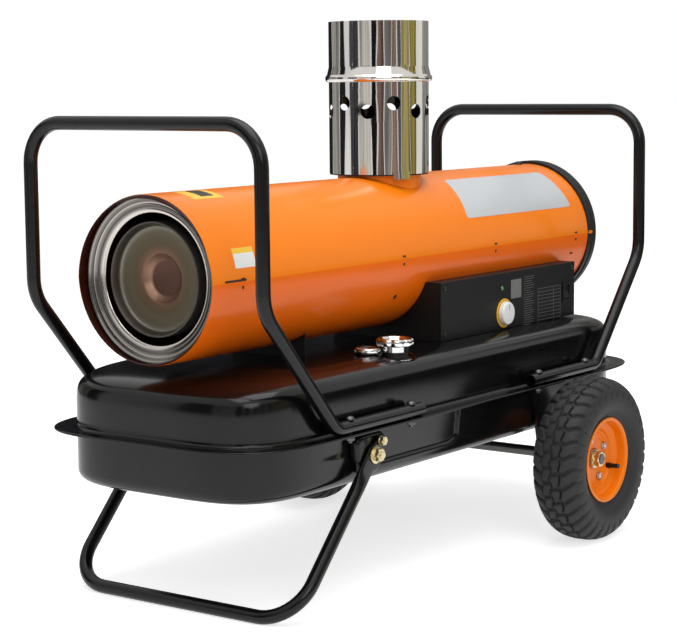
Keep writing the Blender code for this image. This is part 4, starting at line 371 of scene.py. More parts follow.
# %% [markdown]
# ## Finishes: the recipe
# A finish is a Principled shader whose roughness comes from the mottle group and
# whose colour swings a little between two close tones. A weak bump from the fine
# noise gives enamel its slight waviness and rubber its dull skin.
# %% Finish helper
def finish(name, colour, metallic, roughness, spread=0.06, swing=0.06, bump=0.0, depth=0.02,
           cloud=12.0, grain=900.0, coat=0.0, coat_roughness=0.05, shine=0.5):
    """A mottled Principled material; its bump's depth is in millimetres."""
    made = bpy.data.materials.new(name)
    made.use_nodes = True
    tree = made.node_tree
    numbers = {"Cloud Scale": cloud, "Grain Scale": grain, "Middle": roughness, "Spread": spread}
    mottle = add_node(tree, "Group", numbers, node_tree=MOTTLE)
    dark, pale = ((*(min(1.0, c * f) for c in colour), 1) for f in (1 - swing, 1 + swing))
    tones = add_node(tree, "Mix", {"Factor": mottle["Cloud"], "A": dark, "B": pale}, data_type="RGBA")
    shader = tree.nodes["Principled BSDF"]
    feed(shader, {"Base Color": tones["Result"], "Roughness": mottle["Value"], "Metallic": metallic,
                  "Specular IOR Level": shine, "Coat Weight": coat, "Coat Roughness": coat_roughness})
    if bump:
        relief = {"Height": mottle["Height"], "Strength": bump, "Distance": depth * MM}
        feed(shader, {"Normal": add_node(tree, "Bump", relief)["Normal"]})
    return made


ENAMEL_SKIN = {"swing": 0.03, "bump": 0.12, "grain": 160.0, "depth": 0.05, "coat": 0.10,
               "coat_roughness": 0.04, "shine": 0.16}
ORANGE = finish("orange_enamel", (0.95, 0.225, 0.004), 0.0, 0.30, **ENAMEL_SKIN)
# A redder, darker copy of the orange for the casing's bottom sheet: painted shade for its unlit belly.
SHADED_BELLY_ORANGE = finish("painted_shade_belly_orange_enamel", (0.93, 0.155, 0.003), 0.0, 0.30, **ENAMEL_SKIN)
BLACK = finish("black_gloss_enamel", (0.0035, 0.0035, 0.0038), 0.0, 0.16, swing=0.2, bump=0.15,
               grain=140.0, depth=0.06, shine=0.28)
TUBE_BLACK = finish("black_tube_enamel", (0.0035, 0.0035, 0.004), 0.0, 0.22, swing=0.2, bump=0.1,
                    grain=300.0, shine=0.28)
PANEL_BLACK = finish("black_panel_enamel", (0.0075, 0.0078, 0.0080), 0.0, 0.42, swing=0.1, bump=0.3,
                     grain=1500.0, shine=0.22)
GUARD_BLACK = finish("black_guard_plastic", (0.008, 0.008, 0.0085), 0.0, 0.5, swing=0.15, bump=0.3,
                     grain=700.0, shine=0.25)
BLACK_PLASTIC = finish("black_plastic", (0.008, 0.008, 0.008), 0.0, 0.38, swing=0.1, shine=0.3)
# Flat dark patches of painted shade, for slots, holes and the seam screws.
OPENING_SHADE_PAINT = finish("painted_shade_opening", (0.004, 0.003, 0.003), 0.0, 0.8, swing=0.1)
INNER_STEEL = finish("inner_steel", (0.30, 0.29, 0.27), 1.0, 0.42, spread=0.12, swing=0.15)
AXLE_STEEL = finish("axle_steel", (0.11, 0.11, 0.105), 1.0, 0.33, spread=0.1, swing=0.15, cloud=60.0)
CAST = finish("cast_aluminium", (0.46, 0.46, 0.47), 1.0, 0.5, spread=0.15, bump=0.4, grain=600.0)
CHROME = finish("bright_chrome", (0.66, 0.66, 0.67), 1.0, 0.07, spread=0.03, swing=0.03)
ZINC = finish("yellow_zinc", (0.60, 0.53, 0.34), 1.0, 0.28, spread=0.12, swing=0.25, cloud=120.0)
BRIGHT_ZINC = finish("bright_zinc", (0.55, 0.56, 0.57), 1.0, 0.26, spread=0.1, swing=0.12, cloud=120.0)
DARK_ZINC = finish("dark_zinc", (0.10, 0.10, 0.10), 1.0, 0.34, spread=0.1, swing=0.2, cloud=120.0)
RUBBER = finish("tyre_rubber", (0.020, 0.0205, 0.022), 0.0, 0.62, spread=0.12, swing=0.2, bump=0.5,
                grain=1200.0, depth=0.05, cloud=30.0, shine=0.35)
SILVER = finish("silver_badge", (0.60, 0.62, 0.64), 0.35, 0.34, spread=0.08, swing=0.05, bump=0.2,
                grain=2500.0)
WHITE = finish("white_plastic", (0.86, 0.86, 0.84), 0.0, 0.35, swing=0.01)
YELLOW = finish("yellow_plastic", (0.78, 0.42, 0.03), 0.0, 0.45, swing=0.04)
GREEN = finish("green_lens", (0.02, 0.30, 0.06), 0.0, 0.2, swing=0.1, coat=0.5)
BOARD = finish("board_green", (0.03, 0.18, 0.07), 0.0, 0.5)
RED = finish("red_needle", (0.5, 0.02, 0.01), 0.0, 0.4)
LABEL_WHITE = finish("bare_label_white", (0.80, 0.80, 0.78), 0.0, 0.4, swing=0.02)
LABEL_YELLOW = finish("bare_label_yellow", (0.90, 0.55, 0.04), 0.0, 0.4, swing=0.02)
LABEL_GREY = finish("bare_label_grey", (0.20, 0.205, 0.20), 0.2, 0.4, swing=0.08)
print("finishes:", len(bpy.data.materials))


# %% [markdown]
# ## Finishes: a dark back to bent sheet
# The casing is enamelled outside, and its inside is given a dark red brown as
# painted shade; the flue is a darker grey within. The two faces of one sheet
# differ only in their distance from the axis, so a group measures that distance
# and gives 1 where it is below a limit. The casing's two arcs have their centres
# a little beyond the seam, which the group's drop allows for.
# %% Inside mask
def inside_group():
    """Inside = 1 where sqrt(u^2 + (|v| + drop)^2) < limit; u, v, drop and limit are inputs."""
    usual = {"U": 0.0, "V": 0.0, "Drop": 0.0, "Limit": 0.0}
    group, given, gives = new_group("inside", usual, ("Inside",))
    lifted = add_math(group, "ADD", add_math(group, "ABSOLUTE", given["V"]), given["Drop"])
    flat = add_node(group, "CombineXYZ", {"X": given["U"], "Y": lifted})[0]
    length = add_vector(group, "LENGTH", flat)["Value"]
    feed(gives, {"Inside": add_math(group, "LESS_THAN", length, given["Limit"])})
    return group


INSIDE = inside_group()


def dark_inside(material, axes, centre, drop, limit, dark):
    """Blend a material's colour to a dark one where the inside group says so."""
    tree = material.node_tree
    shader = tree.nodes["Principled BSDF"]
    moved = add_vector(tree, "SUBTRACT", object_place(tree), centre)["Vector"]
    split = add_node(tree, "SeparateXYZ", {0: moved})
    numbers = {"U": split[axes[0]], "V": split[axes[1]], "Drop": drop, "Limit": limit}
    mask = add_node(tree, "Group", numbers, node_tree=INSIDE)["Inside"]
    plain = shader.inputs["Base Color"].links[0].from_socket
    blend = add_node(tree, "Mix", {"Factor": mask, "A": plain, "B": (*dark, 1)}, data_type="RGBA")
    feed(shader, {"Base Color": blend["Result"]})
    return material


AXIS_Z, HALF_HEIGHT, ARC_HALF = 0.4475, 0.1125, 0.116
ARC_R = (HALF_HEIGHT ** 2 + ARC_HALF ** 2) / (2 * HALF_HEIGHT)
ARC_DROP = ARC_R - HALF_HEIGHT
HALF_SHEET = 0.6 * MM
# Inside colours: the casing's dark red brown is painted shade, and the flue's is a plain darker grey.
PAINTED_INSIDE_SHADE, DARK_WITHIN_FLUE = (0.035, 0.006, 0.002), (0.045, 0.042, 0.04)
CASING_ORANGE = ORANGE.copy()
CASING_ORANGE.name = "casing_orange_enamel"
for material in (CASING_ORANGE, SHADED_BELLY_ORANGE):
    dark_inside(material, "YZ", (0, 0, AXIS_Z), ARC_DROP, ARC_R - HALF_SHEET, PAINTED_INSIDE_SHADE)
print("casing arc radius:", round(ARC_R, 5), "drop:", round(ARC_DROP, 5))


# %% [markdown]
# ## Finishes: polished flue and heat-tinted drum
# Thin stainless sheet that has been rolled into a pipe keeps faint flats, which
# break a reflection into upright streaks, and the pipe's colour adds upright
# streaks of painted reflection. The angle round the pipe drives the noise, so
# the streaks run straight up. The drum's face is coloured by heat in rings, so
# its colour follows the distance from the casing's axis.
# %% Streaked and ringed steel
FLUE_X, FLUE_R = 0.038, 0.075


def streaked_steel():
    """Bump from noise of (angle round the flue, 1.2 z), and colour streaks from such noise as painted
    reflection.
    """
    made = finish("polished_stainless", (0.66, 0.645, 0.61), 1.0, 0.06, spread=0.05, swing=0.05, cloud=20.0)
    tree = made.node_tree
    place = add_node(tree, "SeparateXYZ", {0: object_place(tree)})
    angle = add_math(tree, "ARCTAN2", place["Y"], add_math(tree, "SUBTRACT", place["X"], FLUE_X))
    height = add_math(tree, "MULTIPLY", place["Z"], 1.2)
    round_up = add_node(tree, "CombineXYZ", {"X": angle, "Y": height})[0]
    flats = add_noise(tree, round_up, 3.4, 1.0)
    # Upright colour streaks: painted reflection bands.
    painted_reflection_streaks = add_noise(tree, round_up, 3.1, 1.0)
    relief = add_node(tree, "Bump", {"Height": flats, "Strength": 0.6, "Distance": 1.6 * MM})["Normal"]
    tone = add_ramp(tree, painted_reflection_streaks, [(0.32, (0.58, 0.55, 0.54)), (0.72, (0.72, 0.69, 0.62))])
    feed(tree.nodes["Principled BSDF"], {"Normal": relief, "Base Color": tone})
    return made


def ringed_steel(name, metallic, roughness, reach, stops):
    """Colour rings by r / reach, where r = sqrt(y^2 + (z - axis)^2)."""
    made = finish(name, (0.3, 0.28, 0.24), metallic, roughness, spread=0.1, swing=0.05, cloud=25.0,
                  bump=0.1, grain=400.0)
    tree = made.node_tree
    centred = add_vector(tree, "SUBTRACT", object_place(tree), (0, 0, AXIS_Z))["Vector"]
    flat = add_vector(tree, "MULTIPLY", centred, (0, 1, 1))["Vector"]
    length = add_vector(tree, "LENGTH", flat)["Value"]
    share = add_node(tree, "MapRange", {"Value": length, "From Max": reach})["Result"]
    feed(tree.nodes["Principled BSDF"], {"Base Color": add_ramp(tree, share, stops)})
    return made


STAINLESS = dark_inside(streaked_steel(), "XY", (FLUE_X, 0, 0), 0.0, FLUE_R - HALF_SHEET, DARK_WITHIN_FLUE)
DRUM_STOPS = [(0.0, (0.085, 0.040, 0.026)), (0.30, (0.095, 0.046, 0.030)), (0.335, (0.30, 0.175, 0.115)),
              (0.43, (0.15, 0.080, 0.050)), (0.56, (0.095, 0.070, 0.038)), (0.78, (0.105, 0.090, 0.058)),
              (0.865, (0.19, 0.175, 0.14)), (0.885, (0.055, 0.046, 0.038)), (1.0, (0.10, 0.090, 0.078))]
HEATED = ringed_steel("heat_tinted_steel", 0.7, 0.42, 0.080, DRUM_STOPS)
# The outlet ring's colour is painted light: bright rings are painted highlights on its steps and its lip,
# dark rings painted shade, darkest at the outer edge by the casing.
PAINTED_RING_LIGHT_LEVELS = [(0.770, 0.20), (0.793, 0.62), (0.815, 0.50), (0.835, 0.17), (0.865, 0.10), (0.893, 0.20),
               (0.905, 0.42), (0.915, 0.17), (0.945, 0.13), (0.957, 0.30), (0.966, 0.11), (0.99, 0.07)]
PAINTED_RING_LIGHT_STOPS = [(share, (level, 0.93 * level, 0.85 * level)) for share, level in PAINTED_RING_LIGHT_LEVELS]
OUTLET_PAINTED_LIGHT_STEEL = ringed_steel("outlet_steel_painted_light", 1.0, 0.20, 0.112, PAINTED_RING_LIGHT_STOPS)
print("special finishes:", STAINLESS.name, HEATED.name, OUTLET_PAINTED_LIGHT_STEEL.name)

# %% [markdown]
# ## Tyres
# The tyre is a turned section whose tread is cut by grooves. The section is a
# rounded square (a superellipse), finely divided where the tread is. A groove
# pattern of the turn angle and the place across the tread pushes points inward:
# a zigzag down the middle, slanted cuts between two rows of blocks and wider
# cuts between the shoulder lugs.
# %% Tread pattern
WHEEL_X, WHEEL_Y, WHEEL_R = 0.222, 0.262, 0.125
SIDES = (("near", -1, "-Y"), ("far", 1, "+Y"))
TREAD_BLOCKS, STEPS_PER_BLOCK = 34, 14
TREAD_DEPTH, TREAD_HALF = 4.3 * MM, 33.5 * MM


def zigzag(x):
    """Triangle wave between -1 and 1 with period 1."""
    return 4 * np.abs(x % 1 - 0.5) - 1


def groove(distance, half_width):
    """1 in the middle of a groove, 0 outside it, with sloped walls."""
    return np.clip(1.6 - 1.6 * np.abs(distance) / half_width, 0, 1)


def tread_cut(turn, across):
    """Depth share of the tread pattern; turn counts blocks, across runs from -1 to 1."""
    side = np.abs(across)
    border = 0.43 + 0.05 * zigzag(turn + 0.5)
    middle = groove(across - 0.06 * zigzag(turn), 0.065)
    edges = groove(side - border, 0.05)
    cut_inner = groove((turn + 0.30 * across + 0.25 * np.sign(across)) % 1 - 0.5, 0.16) * (side < border)
    cut_outer = groove((turn + 0.5 + 0.22 * zigzag(0.9 * side)) % 1 - 0.5, 0.18) * (side >= border)
    fade = np.clip((1.22 - side) / 0.16, 0, 1)
    return np.maximum.reduce([middle, edges, cut_inner * 0.9, cut_outer]) * fade


# %% Tyre pieces
BELLY_R, TYRE_RISE, TYRE_HALF, TYRE_POWER = 0.095, 0.030, 0.040, 2 / 2.6
WALL_RIDGES = ((106.5 * MM, 0.6 * MM), (74.5 * MM, 0.7 * MM))
RIDGE_HALF, FLANK_RELIEF = 1.2 * MM, 0.7 * MM
INSIDE_OF_TYRE = mm([(65.3, 27.5), (60.0, 27.5), (60.0, 20.5), (70.0, 26.0), (95.0, 32.0), (113.0, 24.0)])
CROWN_INSIDE = 117.5 * MM


def tyre_grid():
    """Section (R + rise |sin|^p, half |cos|^p) turned, less depth times the pattern."""
    degrees = np.concatenate([np.linspace(-45, 28, 14)[:-1], np.linspace(28, 152, 84),
                              np.linspace(152, 225, 14)[1:]])
    c, s = np.cos(np.radians(degrees)), np.sin(np.radians(degrees))
    radius = BELLY_R + np.sign(s) * np.abs(s) ** TYRE_POWER * TYRE_RISE
    height = np.sign(c) * np.abs(c) ** TYRE_POWER * TYRE_HALF
    ridge = sum(high * np.exp(-((radius - at) / RIDGE_HALF) ** 2) for at, high in WALL_RIDGES)
    height = height - np.sign(height) * (FLANK_RELIEF - ridge * (np.abs(height) > TYRE_HALF / 2))
    columns = TREAD_BLOCKS * STEPS_PER_BLOCK
    turn = np.linspace(0, TREAD_BLOCKS, columns, endpoint=False)
    depth = TREAD_DEPTH * tread_cut(turn[None], (height / TREAD_HALF)[:, None])
    depth *= ((degrees > 5) & (degrees < 175))[:, None]
    outward = np.stack([s * np.abs(s) ** 0.3, c * np.abs(c) ** 0.3])
    outward /= np.linalg.norm(outward, axis=0)
    r = radius[:, None] - depth * outward[0][:, None]
    h = height[:, None] - depth * outward[1][:, None]
    inner = np.concatenate([INSIDE_OF_TYRE * [1, -1], [[CROWN_INSIDE, 0.0]], INSIDE_OF_TYRE[::-1]])
    r = np.concatenate([r, np.repeat(inner[:, :1], columns, 1)])
    h = np.concatenate([h, np.repeat(inner[:, 1:], columns, 1)])
    t = turn / TREAD_BLOCKS * 2 * np.pi
    return surface(np.stack([r * np.cos(t), r * np.sin(t), h], -1), wrap_rows=True)


for side, sign, axis in SIDES:
    tyre = stand(tyre_grid(), axis, (WHEEL_X, sign * WHEEL_Y, WHEEL_R))
    made = piece(f"tyre_{side}_tread", [tyre], RUBBER, f"wheel_{side}", [f"tyre_{side}"],
                 smooth=38)
print("tyre quads:", len(made.data.polygons))

# %% [markdown]
# ## Rims, hubs and valves
# The pressed rim is one lathe profile: two flanges that hold the tyre's beads, a
# well and the disc. A turned hub with its flange is bolted to the disc by four
# bolts, and a black rubber valve leans out of the well.
# %% Rims, hubs and valves
RIM = [(65, 28.4), (65, 30.4), (63.4, 31), (60.6, 30.6), (58.4, 28.5), (57.4, 24), (56.8, 15.6),
       (52, 13.4), (46.4, 11.4), (44.8, 8.0), (42.2, 5.9), (40.6, 5.9), (39.6, 7.0), (37.6, 7.0),
       (36.6, 5.9), (15.4, 5.9), (15.4, 3.6), (44.0, 3.6), (44.6, -10.6), (56.6, -15.6), (57.2, -28.5),
       (60.6, -31), (65, -31), (65, -28.4), (59.7, -27.8), (59.7, -13.5), (47.6, -9.4), (47.6, 9.4),
       (59.7, 13.5), (59.7, 27.8)]
HUB = [(8.25, -24), (15, -24), (15, 0.3), (41, 0.3), (41, 3.2), (15, 3.2), (15, 8.5), (8.25, 8.5)]
RIM_WASHER = [(0, 6.2), (6.4, 6.2), (6.6, 6.6), (6.4, 7.1), (0, 7.1)]
BOLT_END = [(0, 11.6), (1.6, 11.4), (2.6, 10.6), (3.0, 9.4), (3.0, 6.8)]
BOLT_CIRCLE, BOLT_FIRST, BOLTS_PER_HUB = 0.0335, 27.0, 4
VALVE_LEAN = math.radians(-23.0)
VALVE_REACH_AND_RISE = ((46.5, 7.0), (45.0, 12.0), (43.5, 18.0), (42.8, 23.0), (42.2, 28.0))
VALVE_RADII = mm([5.2, 4.2, 3.4, 3.6, 3.6])

for side, sign, axis in SIDES:
    here, wheel = (WHEEL_X, sign * WHEEL_Y, WHEEL_R), f"wheel_{side}"
    dish = turned(RIM, axis, here, 128, soft=1.2, steps=3)
    piece(f"rim_{side}_dish", [dish], ORANGE, wheel, [f"rim_{side}"])
    parts = [turned(HUB, "+Z", (0, 0, 0), soft=0.5)]
    for angle in np.radians(BOLT_FIRST + 360 / BOLTS_PER_HUB * np.arange(BOLTS_PER_HUB)):
        spot = (BOLT_CIRCLE * math.cos(angle), BOLT_CIRCLE * math.sin(angle), 0)
        parts += [turned(RIM_WASHER, "+Z", spot, 32, closed=False),
                  stand(hexagonal(5.8, 7.0, 10.4), "+Z", spot),
                  turned(BOLT_END, "+Z", spot, 24, closed=False),
                  stand(hexagonal(5.8, -3.6, 0.4), "+Z", spot)]
    parts = [stand(part, axis, here) for part in parts]
    piece(f"hub_{side}_bolted", parts, BRIGHT_ZINC, wheel, [f"hub_{side}"])
    out = np.array([math.cos(VALVE_LEAN), -sign * math.sin(VALVE_LEAN), 0])
    stem_path = mm([out * reach + [0, 0, rise] for reach, rise in VALVE_REACH_AND_RISE])
    stem = capped(along(stem_path, circle(1.0, 20) * VALVE_RADII[:, None, None]))
    piece(f"valve_{side}", [stand(stem, axis, here)], BLACK_PLASTIC, wheel)
print("rims, hubs and valves made")

# %% [markdown]
# ## Axle and wheel nuts
# The axle is a plain steel bar with a collar inside each wheel. The nut has
# bevelled corners, because a sharp hexagon looks like a toy, and a washer.
# %% Axle and nuts
half_axle = np.array([(8, 227.7), (11.5, 227.7), (11.5, 237.7), (8, 237.7), (8, 282.5), (7, 283.5),
                      (0, 283.5)])
axle_profile = np.concatenate([(half_axle * [1, -1])[::-1], half_axle])
axle = turned(axle_profile, "+Y", (WHEEL_X, 0, WHEEL_R), 48, closed=False)
piece("axle_bar", [axle], AXLE_STEEL, replaces=["axle"])
for side, sign, axis in SIDES:
    hub_end = (WHEEL_X, sign * (WHEEL_Y + 8.5 * MM), WHEEL_R)
    washer = turned([(8.3, 0.3), (14.5, 0.3), (14.5, 2.3), (8.3, 2.3)], axis, hub_end, 48, soft=0.3)
    nut = stand(hexagonal(12.5, 2.3, 11.3, 0.8, bore=8.3), axis, hub_end)
    piece(f"wheel_nut_{side}_hex", [washer, nut], ZINC, replaces=[f"wheel_nut_{side}"])
print("axle length:", round(2 * half_axle[-1, 1] * MM, 4))

# %% [markdown]
# ## Fuel tank
# The tank is two deep pressings joined at a rolled seam. Seen from above its
# outline has straight sides and rounded-square ends. The lid is a stack of such
# outlines, each drawn in a little and lifted, and the pan is the same going
# down. A dimple for the filler and a shallow panel behind each leg bracket are
# pressed in by moving the grid's points.
# %% Tank outline
TANK_L, TANK_W, TANK_END = 0.4985, 0.181, 0.190
END_POWER = 2 / 4.2
SHOULDER_RISE, SHOULDER_POWER, SHOULDER_START, SHOULDER_END = 0.0815, 8.0, 7 * MM, 0.80
SEAM_TOP, PLATEAU = 0.2385, 0.320
FILLER, FILLER_SEAT = np.array([-0.131, -0.142]), 0.3105
TANK_SHEET = 1.5 * MM


def tank_outline(length, width, end, arc_points=72, side_points=180):
    """Ends x = x0 + end |cos a|^p, y = width |sin a|^p with p = 2 / 4.2; straight between."""
    angle = np.radians(np.linspace(-90, 90, arc_points))
    c, s = np.cos(angle), np.sin(angle)
    start = length - end
    x, y = start + end * np.abs(c) ** END_POWER, width * np.sign(s) * np.abs(s) ** END_POWER
    right = np.stack([x, y], -1)
    side = np.linspace(start, -start, side_points + 2)[1:-1]
    straight = np.stack([side, np.full_like(side, width)], -1)
    return np.concatenate([right, straight, -right, -straight])


def stacked(levels):
    """One outline per level; a level is (inset, share, height)."""
    rings = []
    for inset, share, height in levels:
        flat = tank_outline(*((size - inset) * share for size in (TANK_L, TANK_W, TANK_END)))
        rings.append(np.column_stack([flat, np.full(len(flat), height)]))
    return np.array(rings)


def shoulder(count_per_metre=450):
    """Points of share^8 + (rise / full rise)^8 = 1, evenly spaced by resampling, as (share, z)."""
    angle = np.radians(90) * np.linspace(0, 1, 2000) ** 3
    share, rise = np.cos(angle) ** (2 / SHOULDER_POWER), np.sin(angle) ** (2 / SHOULDER_POWER)
    keep = (rise * SHOULDER_RISE > SHOULDER_START) & (share > SHOULDER_END)
    share, height = share[keep], rise[keep] * SHOULDER_RISE
    run = np.concatenate([[0], np.cumsum(np.hypot(np.diff(share * TANK_W), np.diff(height)))])
    even = np.linspace(0, run[-1], int(run[-1] * count_per_metre))
    return np.stack([np.interp(even, run, share), SEAM_TOP + np.interp(even, run, height)], -1)


# %% Tank lid
ROLL = [(-25.0, 235.4), (-25.8, 235.5), (-26.0, 236.2), (-26.0, 237.2), (-25.7, 238.0),
        (-24.9, 238.45), (-23.5, 238.5), (-16.0, 238.5), (-5.0, 238.5), (-2.6, 238.8), (-1.0, 239.9),
        (-0.2, 241.8), (0, 244.0)]
STEP_DRAW = 0.075
PLATEAU_SHARES = (0.715, 0.702, 0.689, 0.676, 0.663, 0.65, 0.637, 0.62, 0.58, 0.45, 0.2, 0.0)
DIMPLE_FLAT, DIMPLE_EDGE, DIMPLE_ABOVE = 26.2 * MM, 30.0 * MM, 0.280

levels = [(inset * MM, 1.0, height * MM) for inset, height in ROLL]
levels += [(0, share, height) for share, height in shoulder()]
step_z = levels[-1][2]
levels += [(0, SHOULDER_END - STEP_DRAW * t, step_z + (PLATEAU - step_z) * soft_step(t, 0, 1))
           for t in np.linspace(0, 1, 9)]
levels += [(0, share, PLATEAU) for share in PLATEAU_SHARES]
lid = stacked(levels)
from_filler = np.linalg.norm(lid[..., :2] - FILLER, axis=-1)
dimple = (1 - soft_step(from_filler, DIMPLE_FLAT, DIMPLE_EDGE)) * (lid[..., 2] > DIMPLE_ABOVE)
lid[..., 2] += (FILLER_SEAT - lid[..., 2]) * dimple
piece("tank_lid", [surface(lid)], BLACK, replaces=["tank_upper_shell"], smooth=50,
      wall=TANK_SHEET)
print("lid levels:", len(levels), "points per level:", lid.shape[1])

# %% [markdown]
# The pan's side panels are drawn on the wall as an outline in x and z. A point's
# distance to the outline's edges, negative outside, tells how far it is pressed
# in, so the panel's border is a smooth slope.
# %% Tank pan
BOTTOM, FILLET = 0.1615, 0.018
PANEL = np.array([(-0.345, 0.2410), (-0.2935, 0.1894), (-0.280, 0.1810), (-0.050, 0.1810),
                  (-0.0290, 0.1880), (-0.0205, 0.2410)])
PANEL_DEPTH, PANEL_SLOPE = 2.2 * MM, 4.5 * MM
SIDE_Y, PANEL_LOW, PANEL_HIGH = 0.165, 0.174, 0.2347


def depth_inside(x, z, outline):
    """Smallest signed distance to the outline's edges, positive inside (convex outline)."""
    edges = np.roll(outline, -1, 0) - outline
    normals = np.stack([-edges[:, 1], edges[:, 0]], -1)
    normals /= np.linalg.norm(normals, axis=1, keepdims=True)
    right, above = x[..., None] - outline[:, 0], z[..., None] - outline[:, 1]
    return (right * normals[:, 0] + above * normals[:, 1]).min(-1)


under_seam = ((-24.0, 235.2), (-14, 235.2), (-4, 235.2), (-1.2, 234.7), (-0.2, 233.2))
levels = [(inset * MM, 1.0, height * MM) for inset, height in under_seam]
levels += [(0, 1.0, z) for z in np.linspace(0.2315, BOTTOM + FILLET, 22)]
levels += [(FILLET * (1 - math.cos(angle)), 1.0, BOTTOM + FILLET * (1 - math.sin(angle)))
           for angle in np.radians(np.linspace(7.5, 90, 12))]
levels += [(FILLET, share, BOTTOM) for share in (0.97, 0.9, 0.75, 0.5, 0.25, 0.0)]
pan = stacked(levels)
x, y, z = np.moveaxis(pan, -1, 0)
pressed = soft_step(depth_inside(x, z, PANEL), 0.0, PANEL_SLOPE)
pressed *= (np.abs(y) > SIDE_Y) & (z > PANEL_LOW) & (z < PANEL_HIGH)
pan[..., 1] -= np.sign(y) * PANEL_DEPTH * pressed
piece("tank_pan", [surface(pan)], BLACK, replaces=["tank_lower_shell"], smooth=50,
      wall=TANK_SHEET)
print("pan levels:", len(levels))

# %% [markdown]
# ## Tube hoops
# Each hoop is one bent tube: two feet on the seam, two slanted legs, two
# uprights and the top bar. The centre line is given by its corners and the bend
# at each, and a ring is carried along it. The feet are bolted down through the
# seam with domed bolts.
# %% Hoops and their bolts
TUBE_R, TUBE_WALL = 9.5 * MM, 1.6 * MM
FOOT_Z, HOOP_Y = 0.2483, 0.198
HOOP_CORNERS = ((0.150, FOOT_Z), (0.351, FOOT_Z), (0.500, 0.418), (0.500, 0.651))
HOOP_BENDS = (0.026, 0.060, 0.055, 0.055, 0.060, 0.026)
BOLTS_X, NUT_TOP = (0.319, 0.174), 0.2349
BOLT_DOME = [(0, 5.0), (2.6, 4.7), (4.6, 3.8), (6.2, 2.0), (6.8, 0.3), (6.8, 0.0), (0, 0.0)]
BOLT_SHANK = [(0, -8.5), (3, -8.5), (3, 25.5), (0, 25.5)]


def bent_tube(path, radius, wall, columns):
    """Outer ring and inner ring along one path, joined at both open ends."""
    outer, inner = (along(path, circle(r, columns)) for r in (radius, radius - wall))
    return surface(np.concatenate([outer, inner[::-1]]), wrap_rows=True)


for name, end in (("front_handle", -1), ("rear_handle", 1)):
    corners = [(end * x, -HOOP_Y, z) for x, z in HOOP_CORNERS]
    corners += [(x, -y, z) for x, y, z in corners[::-1]]
    hoop = bent_tube(route(corners, HOOP_BENDS), TUBE_R, TUBE_WALL, 28)
    piece(name + "_tube", [hoop], TUBE_BLACK, replaces=[name])
bolt_spots = [(end * x, y) for end in (-1, 1) for y in (-HOOP_Y, HOOP_Y) for x in BOLTS_X]
for number, (x, y) in enumerate(bolt_spots, 1):
    parts = [turned(BOLT_DOME, "+Z", (x, y, FOOT_Z + TUBE_R + 0.2 * MM), 32, closed=False),
             turned(BOLT_SHANK, "+Z", (x, y, NUT_TOP), 20, closed=False),
             stand(hexagonal(6.5, -5.0, 0), "+Z", (x, y, NUT_TOP))]
    piece(f"handle_bolt_{number}_dome", parts, DARK_ZINC,
          replaces=[f"handle_bolt_{number}"])
print("hoops made, bolts:", len(bolt_spots))

# %% [markdown]
# ## Folding leg
# The leg is a U of the same tube whose ends are pressed flat and drilled. One
# section is carried along the whole U and changes on the way: an upright oval
# of half sizes a and b whose power rises from 2, a circle, to 4.5, a flat strip
# with rounded edges. Its stations lie close together where the section changes.
# %% Leg
PIVOT, BAR = np.array([-0.262, 0.0, 0.202]), np.array([-0.4435, 0.0, TUBE_R])
LEG_SIDE, LEG_BEND = np.array([0.0, 0.196, 0.0]), 0.060
TAB_HALF, TAB_THICK, TIP_HALF = 13.5 * MM, 2.5 * MM, 6.8 * MM
TIP_START, TIP_BEYOND = 21.5 * MM, 27.9 * MM
FLAT_TO, ROUND_FROM = 30 * MM, 66 * MM
FROM_TIP = mm([0, 1.0, 2.2, 4.0, 6.8, 12, 20, 27.9, 40, 56, 62, 70, 80, 90, 96])
leg_length = np.linalg.norm(BAR - PIVOT)
down = (BAR - PIVOT) / leg_length
arm = PIVOT - down * TIP_BEYOND + down * FROM_TIP[:, None]
around = route([PIVOT - LEG_SIDE, BAR - LEG_SIDE, BAR + LEG_SIDE, PIVOT + LEG_SIDE], [LEG_BEND, LEG_BEND])
leg_path = np.concatenate([arm - LEG_SIDE, around[1:-1], (arm + LEG_SIDE)[::-1]])
from_pivot = np.linalg.norm(leg_path - PIVOT - LEG_SIDE * np.sign(leg_path[:, 1:2]), axis=1)
beyond = (leg_path - PIVOT) @ down < 0
past = np.where(beyond, from_pivot, 0)
flatness = np.where(beyond, 1, 1 - soft_step(from_pivot, FLAT_TO, ROUND_FROM))
half_wide = TUBE_R + (TAB_HALF - TUBE_R) * flatness
half_wide += (TIP_HALF - half_wide) * np.clip(past / TIP_START, 0, 1)
nose = np.clip(past - TIP_START, 0, TIP_BEYOND - TIP_START)
half_wide = np.where(nose > 0, np.sqrt(np.maximum(TIP_HALF ** 2 - nose ** 2, 1e-8)), half_wide)
half_thick = TUBE_R + (TAB_THICK - TUBE_R) * flatness
power = (2 / (2 + 2.5 * flatness))[:, None]
c, s = circle(1.0, 32).T
wide = np.sign(c) * np.abs(c) ** power * half_wide[:, None]
thick = np.sign(s) * np.abs(s) ** power * half_thick[:, None]
leg = along(leg_path, np.stack([wide, thick], -1), normal=(-down[2], 0.0, down[0]))
piece("front_leg_tube", [capped(leg)], TUBE_BLACK, "leg", ["front_leg"], smooth=45)
print("leg from pivot to bar:", round(leg_length, 4))

